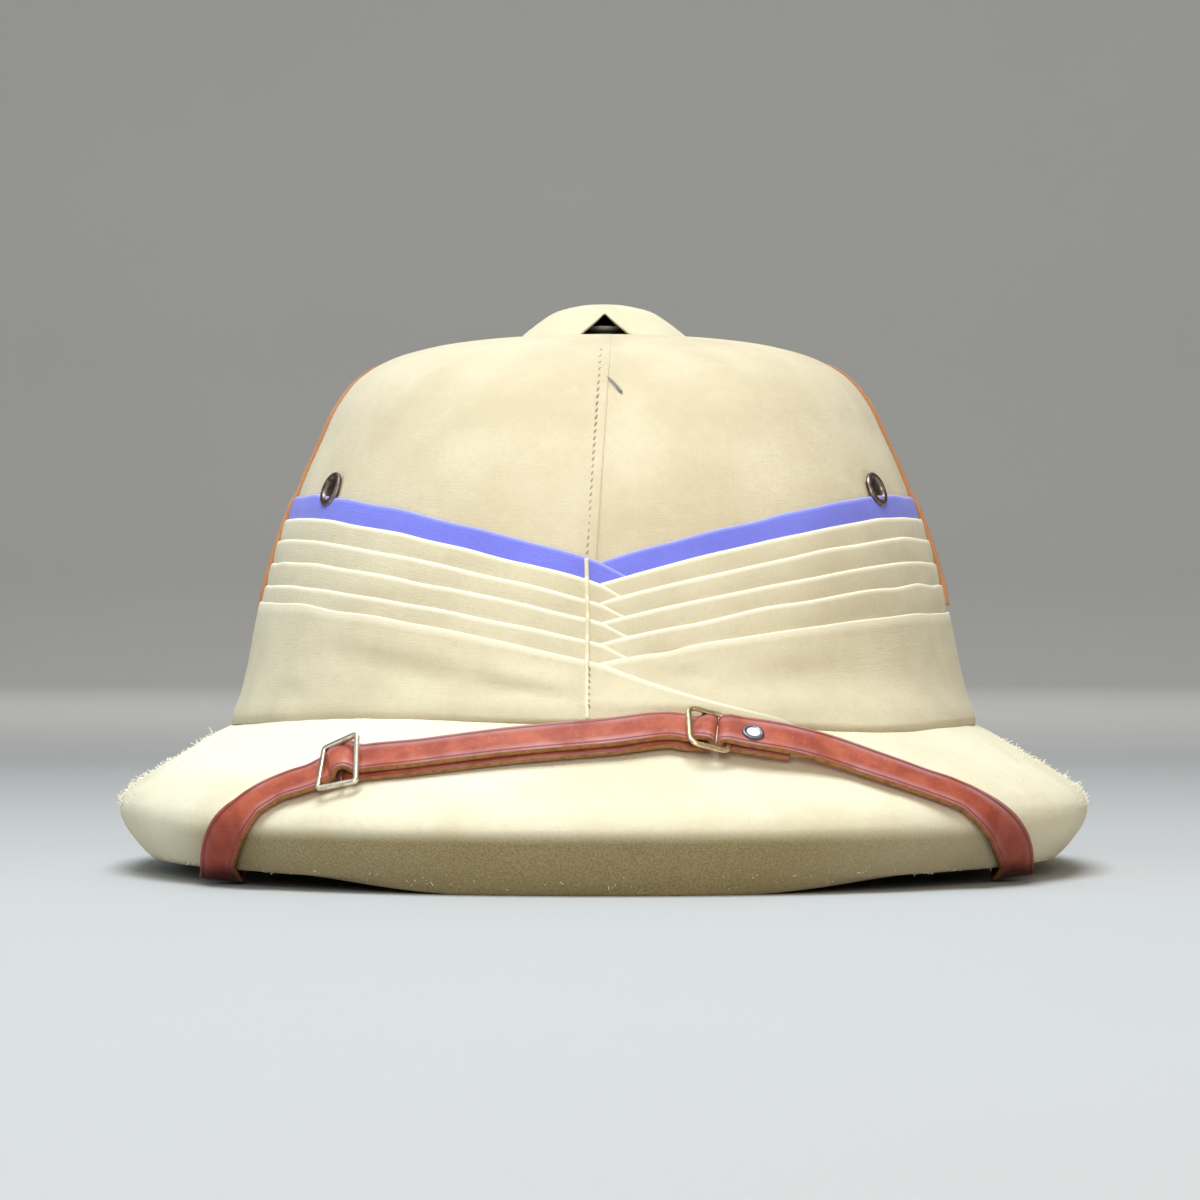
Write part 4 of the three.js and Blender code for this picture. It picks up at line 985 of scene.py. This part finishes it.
def buckle(name, at, slide, corner, section, lean, pitch, twist, warp, bar_at, bar_sag):
    """A frame of bars round a rounded square, with a middle bar, tilted and warped off the strap's face."""
    middle, along, across, up = strap_place(at, STRAP_THICKNESS / 2 + BUCKLE_SEAT + BUCKLE_THICKNESS / 2)
    middle = middle + across * slide
    axes = Matrix([along, across, up]).transposed()
    for angle, axis in ((twist, "Z"), (pitch, "Y"), (lean, "X")):
        axes = axes @ Matrix.Rotation(math.radians(angle), 3, axis)
    along, across, up = np.array(axes).T
    long, wide = (BUCKLE_LENGTH - BUCKLE_BAR) / 2, (BUCKLE_WIDTH - BUCKLE_BAR) / 2
    path, outward = [], []
    for sx, sy, start in ((1, 1, 0), (-1, 1, 90), (-1, -1, 180), (1, -1, 270)):
        for turn in np.radians(start + np.linspace(0, 90, 9)):
            outward.append((math.cos(turn), math.sin(turn)))
            x = sx * (long - corner) + corner * outward[-1][0]
            y = sy * (wide - corner) + corner * outward[-1][1]
            path.append((x, y))
    path, outward = np.array(path + path[:1]), np.array(outward + outward[:1])
    flat = path[:, None] + section[None, :, :1] * outward[:, None]
    raised = section[None, :, 1:] + warp * flat[..., :1] / long * flat[..., 1:] / wide
    points = middle + flat[..., :1] * along + flat[..., 1:] * across + raised * up
    ring = surface(name, points)
    reach = np.linspace(-wide, wide, 15)
    sag = -bar_sag * np.clip((wide - np.abs(reach)) / 1.2, 0, 1)
    ends = [middle + across * d + up * h + along * bar_at for d, h in zip(reach, sag)]
    return join(name, [ring, tube("bar", ends, MIDDLE_BAR_RADIUS, 12, 1.0)])


half, thick = BUCKLE_BAR / 2, BUCKLE_THICKNESS / 2
flat_bar = [(-half, -thick), (half, -thick)]
flat_bar += [(half, thick * 0.4), (half * 0.75, thick * 0.9), (half * 0.4, thick)]
flat_bar = np.array(flat_bar + [(-a, b) for a, b in flat_bar[:0:-1]])
buckle_left = buckle("buckle_left_brass", left_at - 0.4, -3.0, 1.0, flat_bar, 14, -7, -11, 0.8, 0.4, 1.5)
pale_brass = metal("pale_brass", (0.87, 0.8, 0.64, 1), (0.6, 0.48, 0.3, 1), 0.32, BAR_SHADE)
finish_piece(buckle_left, pale_brass, "brass", "buckle_left")

# Right buckle: a brass wire slide of the same size with rounded corners.
# It joins the two straps: the left one turns round its middle bar, the right one round its far bar.
turn = np.linspace(0, 2 * np.pi, 13)
wire = np.stack([BUCKLE_BAR * 0.62 * np.cos(turn), BUCKLE_THICKNESS / 2 * np.sin(turn)], 1)
buckle_right = buckle("buckle_right_brass", right_at, -1.6, 2.4, wire, 5, 13, 11, 0, -0.8, 1.9)
brass = metal("brass", (0.82, 0.67, 0.41, 1), (0.52, 0.36, 0.18, 1), 0.3, BAR_SHADE)
finish_piece(buckle_right, brass, "brass", "buckle_right")

# Rivet: a plain tubular rivet with a dished head, its middle painted near white as a highlight.
# It goes through the right strap and its folded tail.
RIVET_FROM_BUCKLE = 11.6
RIVET_DROP = 1.2
RIVET = [  # radius and distance from the leather's face
    (0, -4.2), (1.5, -4.2), (1.5, 0), (2.9, 0), (3.1, 0.25), (3.0, 0.5),
    (2.6, 0.65), (2.15, 0.6), (1.95, 0.4), (1.6, 0.45), (0.8, 0.6), (0, 0.65),
]
RIVET_HIGHLIGHT = [0] * 9 + [1] * 3  # the share of the painted highlight, near white, at each point
rivet_height = LAYER + STRAP_THICKNESS / 2 + 0.1
middle, along, across, up = strap_place(right_at + RIVET_FROM_BUCKLE, rivet_height, RIVET_DROP)
rivet = lathe("rivet_head", RIVET, middle, up, along, 32, RIVET_HIGHLIGHT)
bright = metal("bright_rivet", (0.24, 0.24, 0.26, 1), (0.13, 0.12, 0.13, 1), 0.35, (0.9, 0.88, 0.83, 1))
finish_piece(rivet, bright, "plain_metal", "rivet")

# Strap studs: brass studs that hold the strap's two ends to the inside of the head opening.
# Each has a low domed head over the leather and a shank in the brim.
STUD = [(0, -6.8), (1.6, -6.8), (1.6, 0), (3.8, 0), (4, 0.3), (3.7, 0.9), (2.6, 1.25), (0, 1.4)]
STUD_FROM_END = 5.0
for side_name, at in (("left", STUD_FROM_END), ("right", strap_length - STUD_FROM_END)):
    middle, along, across, up = strap_place(at, STRAP_THICKNESS / 2 + 0.1)
    stud = lathe("strap_stud_" + side_name + "_head", STUD, middle, up, along, 28)
    finish_piece(stud, brass, "brass", "strap_stud_" + side_name)

# Lint: short pale cotton fibres that have worn loose from the cover along the brim's edge.
# They stand up at the two sides and cling to the lower edge in front.
SIDE_FIBRES, FRONT_FIBRES, FIBRE_RADIUS = 540, 100, 0.11
rng = np.random.default_rng(7)
fibres = []
for i in range(SIDE_FIBRES + FRONT_FIBRES):
    at_side = i < SIDE_FIBRES
    turn = rng.choice([-1, 1]) * (88 + rng.normal(0, 10)) if at_side else rng.uniform(-62, 62)
    place = rng.uniform(1.2, 5.4) if at_side else rng.uniform(8.6, 9.6)
    start = on_brim(turn, place)
    out = unit(unit(start - [0, CENTRE_Y, 10]) + rng.normal(0, 0.5, 3) + [0, 0, 0.6 if at_side else 0])
    curl = rng.normal(0, 0.9, 3)
    long = 0.4 + abs(rng.normal(0, 0.4)) if at_side else rng.uniform(0.3, 0.7)
    step = np.linspace(-0.2, 1, 6)[:, None]
    fibres.append(tube("fibre", start + long * (step * out + step**2 * curl * 0.5), FIBRE_RADIUS, 4))
lint = join("brim_lint", fibres)
pale_lint = mottled("pale_lint", 900, (0.82, 0.74, 0.55, 1), (0.9, 0.87, 0.76, 1), 0.9)
finish_piece(lint, pale_lint, "khaki_cover", "brim")

# Floor: a pale studio sweep, flat under the helmet and curving up all round far from it.
# It is a matt stage that the helmet only stands on.
FLOOR = [  # radius and height in mm
    (0, 0), (600, 0), (2000, 0), (4000, 0), (4800, 120), (5400, 420), (5800, 950), (6000, 1700), (6000, 3400),
]
floor = lathe("floor", FLOOR, (0, 0, 0), UP, RIGHT, 96)
floor.data.materials.append(mottled("pale_floor", 3, (0.47, 0.465, 0.45, 1), (0.49, 0.485, 0.47, 1), 0.85))
floor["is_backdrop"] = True

# Light: one large soft lamp overhead and towards the camera, and a lower one straight in front.
# Weaker ones at both sides and behind round the shapes off, and the last lights the backdrop.
bpy.context.scene.view_settings.view_transform = "Standard"
for name, place, aim, size, power, colour in (
    ("key", (-0.12, -0.42, 1.55), (0, 0, 0.08), 1.0, 33, (0.84, 0.92, 1)),
    ("front fill", (0, -2.1, 0.55), (0, 0, 0.08), 0.7, 19, (1, 0.96, 0.88)),
    ("left fill", (-1.7, -0.6, 0.8), (0, 0, 0.08), 1.0, 7.5, (0.7, 0.86, 1)),
    ("right fill", (1.7, -0.6, 0.8), (0, 0, 0.08), 1.0, 4.5, (1, 0.9, 0.74)),
    ("back", (0.2, 1.3, 1.4), (0, 0, 0.08), 1.0, 6, (1, 1, 1)),
    ("backdrop", (0, 2.0, 2.2), (0, 5.6, 0.7), 1.6, 60, (1, 1, 1)),
):
    bpy.ops.object.light_add(type="AREA", location=place)
    lamp = bpy.context.object
    lamp.name = name
    lamp.data.size = size
    lamp.data.energy = power
    lamp.data.color = colour
    lamp.rotation_euler = (Vector(aim) - Vector(place)).to_track_quat("-Z", "Y").to_euler()
world = bpy.data.worlds.new("studio")
world.use_nodes = True
world.node_tree.nodes["Background"].inputs[0].default_value = (0.9, 0.94, 1.0, 1)
world.node_tree.nodes["Background"].inputs[1].default_value = 0.25
bpy.context.scene.world = world

# Camera: level, at the height of the folds and 1.5 m in front, as the photo was taken.
# It keeps the photo's viewpoint and comes closer by its lens alone.
ZOOM = 1.85  # the photo's own framing is 1.0
PHOTO_LENS = 81.33
PHOTO_SIDE = 1200  # pixels
MIDDLE_X, MIDDLE_Y = -2.0, 9.5  # pixels from the photo's middle to the picture's
bpy.ops.object.camera_add(location=(0, -1.5, 0.074), rotation=(math.pi / 2, 0, 0))
camera = bpy.context.object
camera.data.lens = PHOTO_LENS * ZOOM
camera.data.shift_x = MIDDLE_X / PHOTO_SIDE * ZOOM
camera.data.shift_y = MIDDLE_Y / PHOTO_SIDE * ZOOM
bpy.context.scene.camera = camera

size = {"cad": [list(corner) for corner in cad_box], "visual": [list(corner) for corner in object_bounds()]}
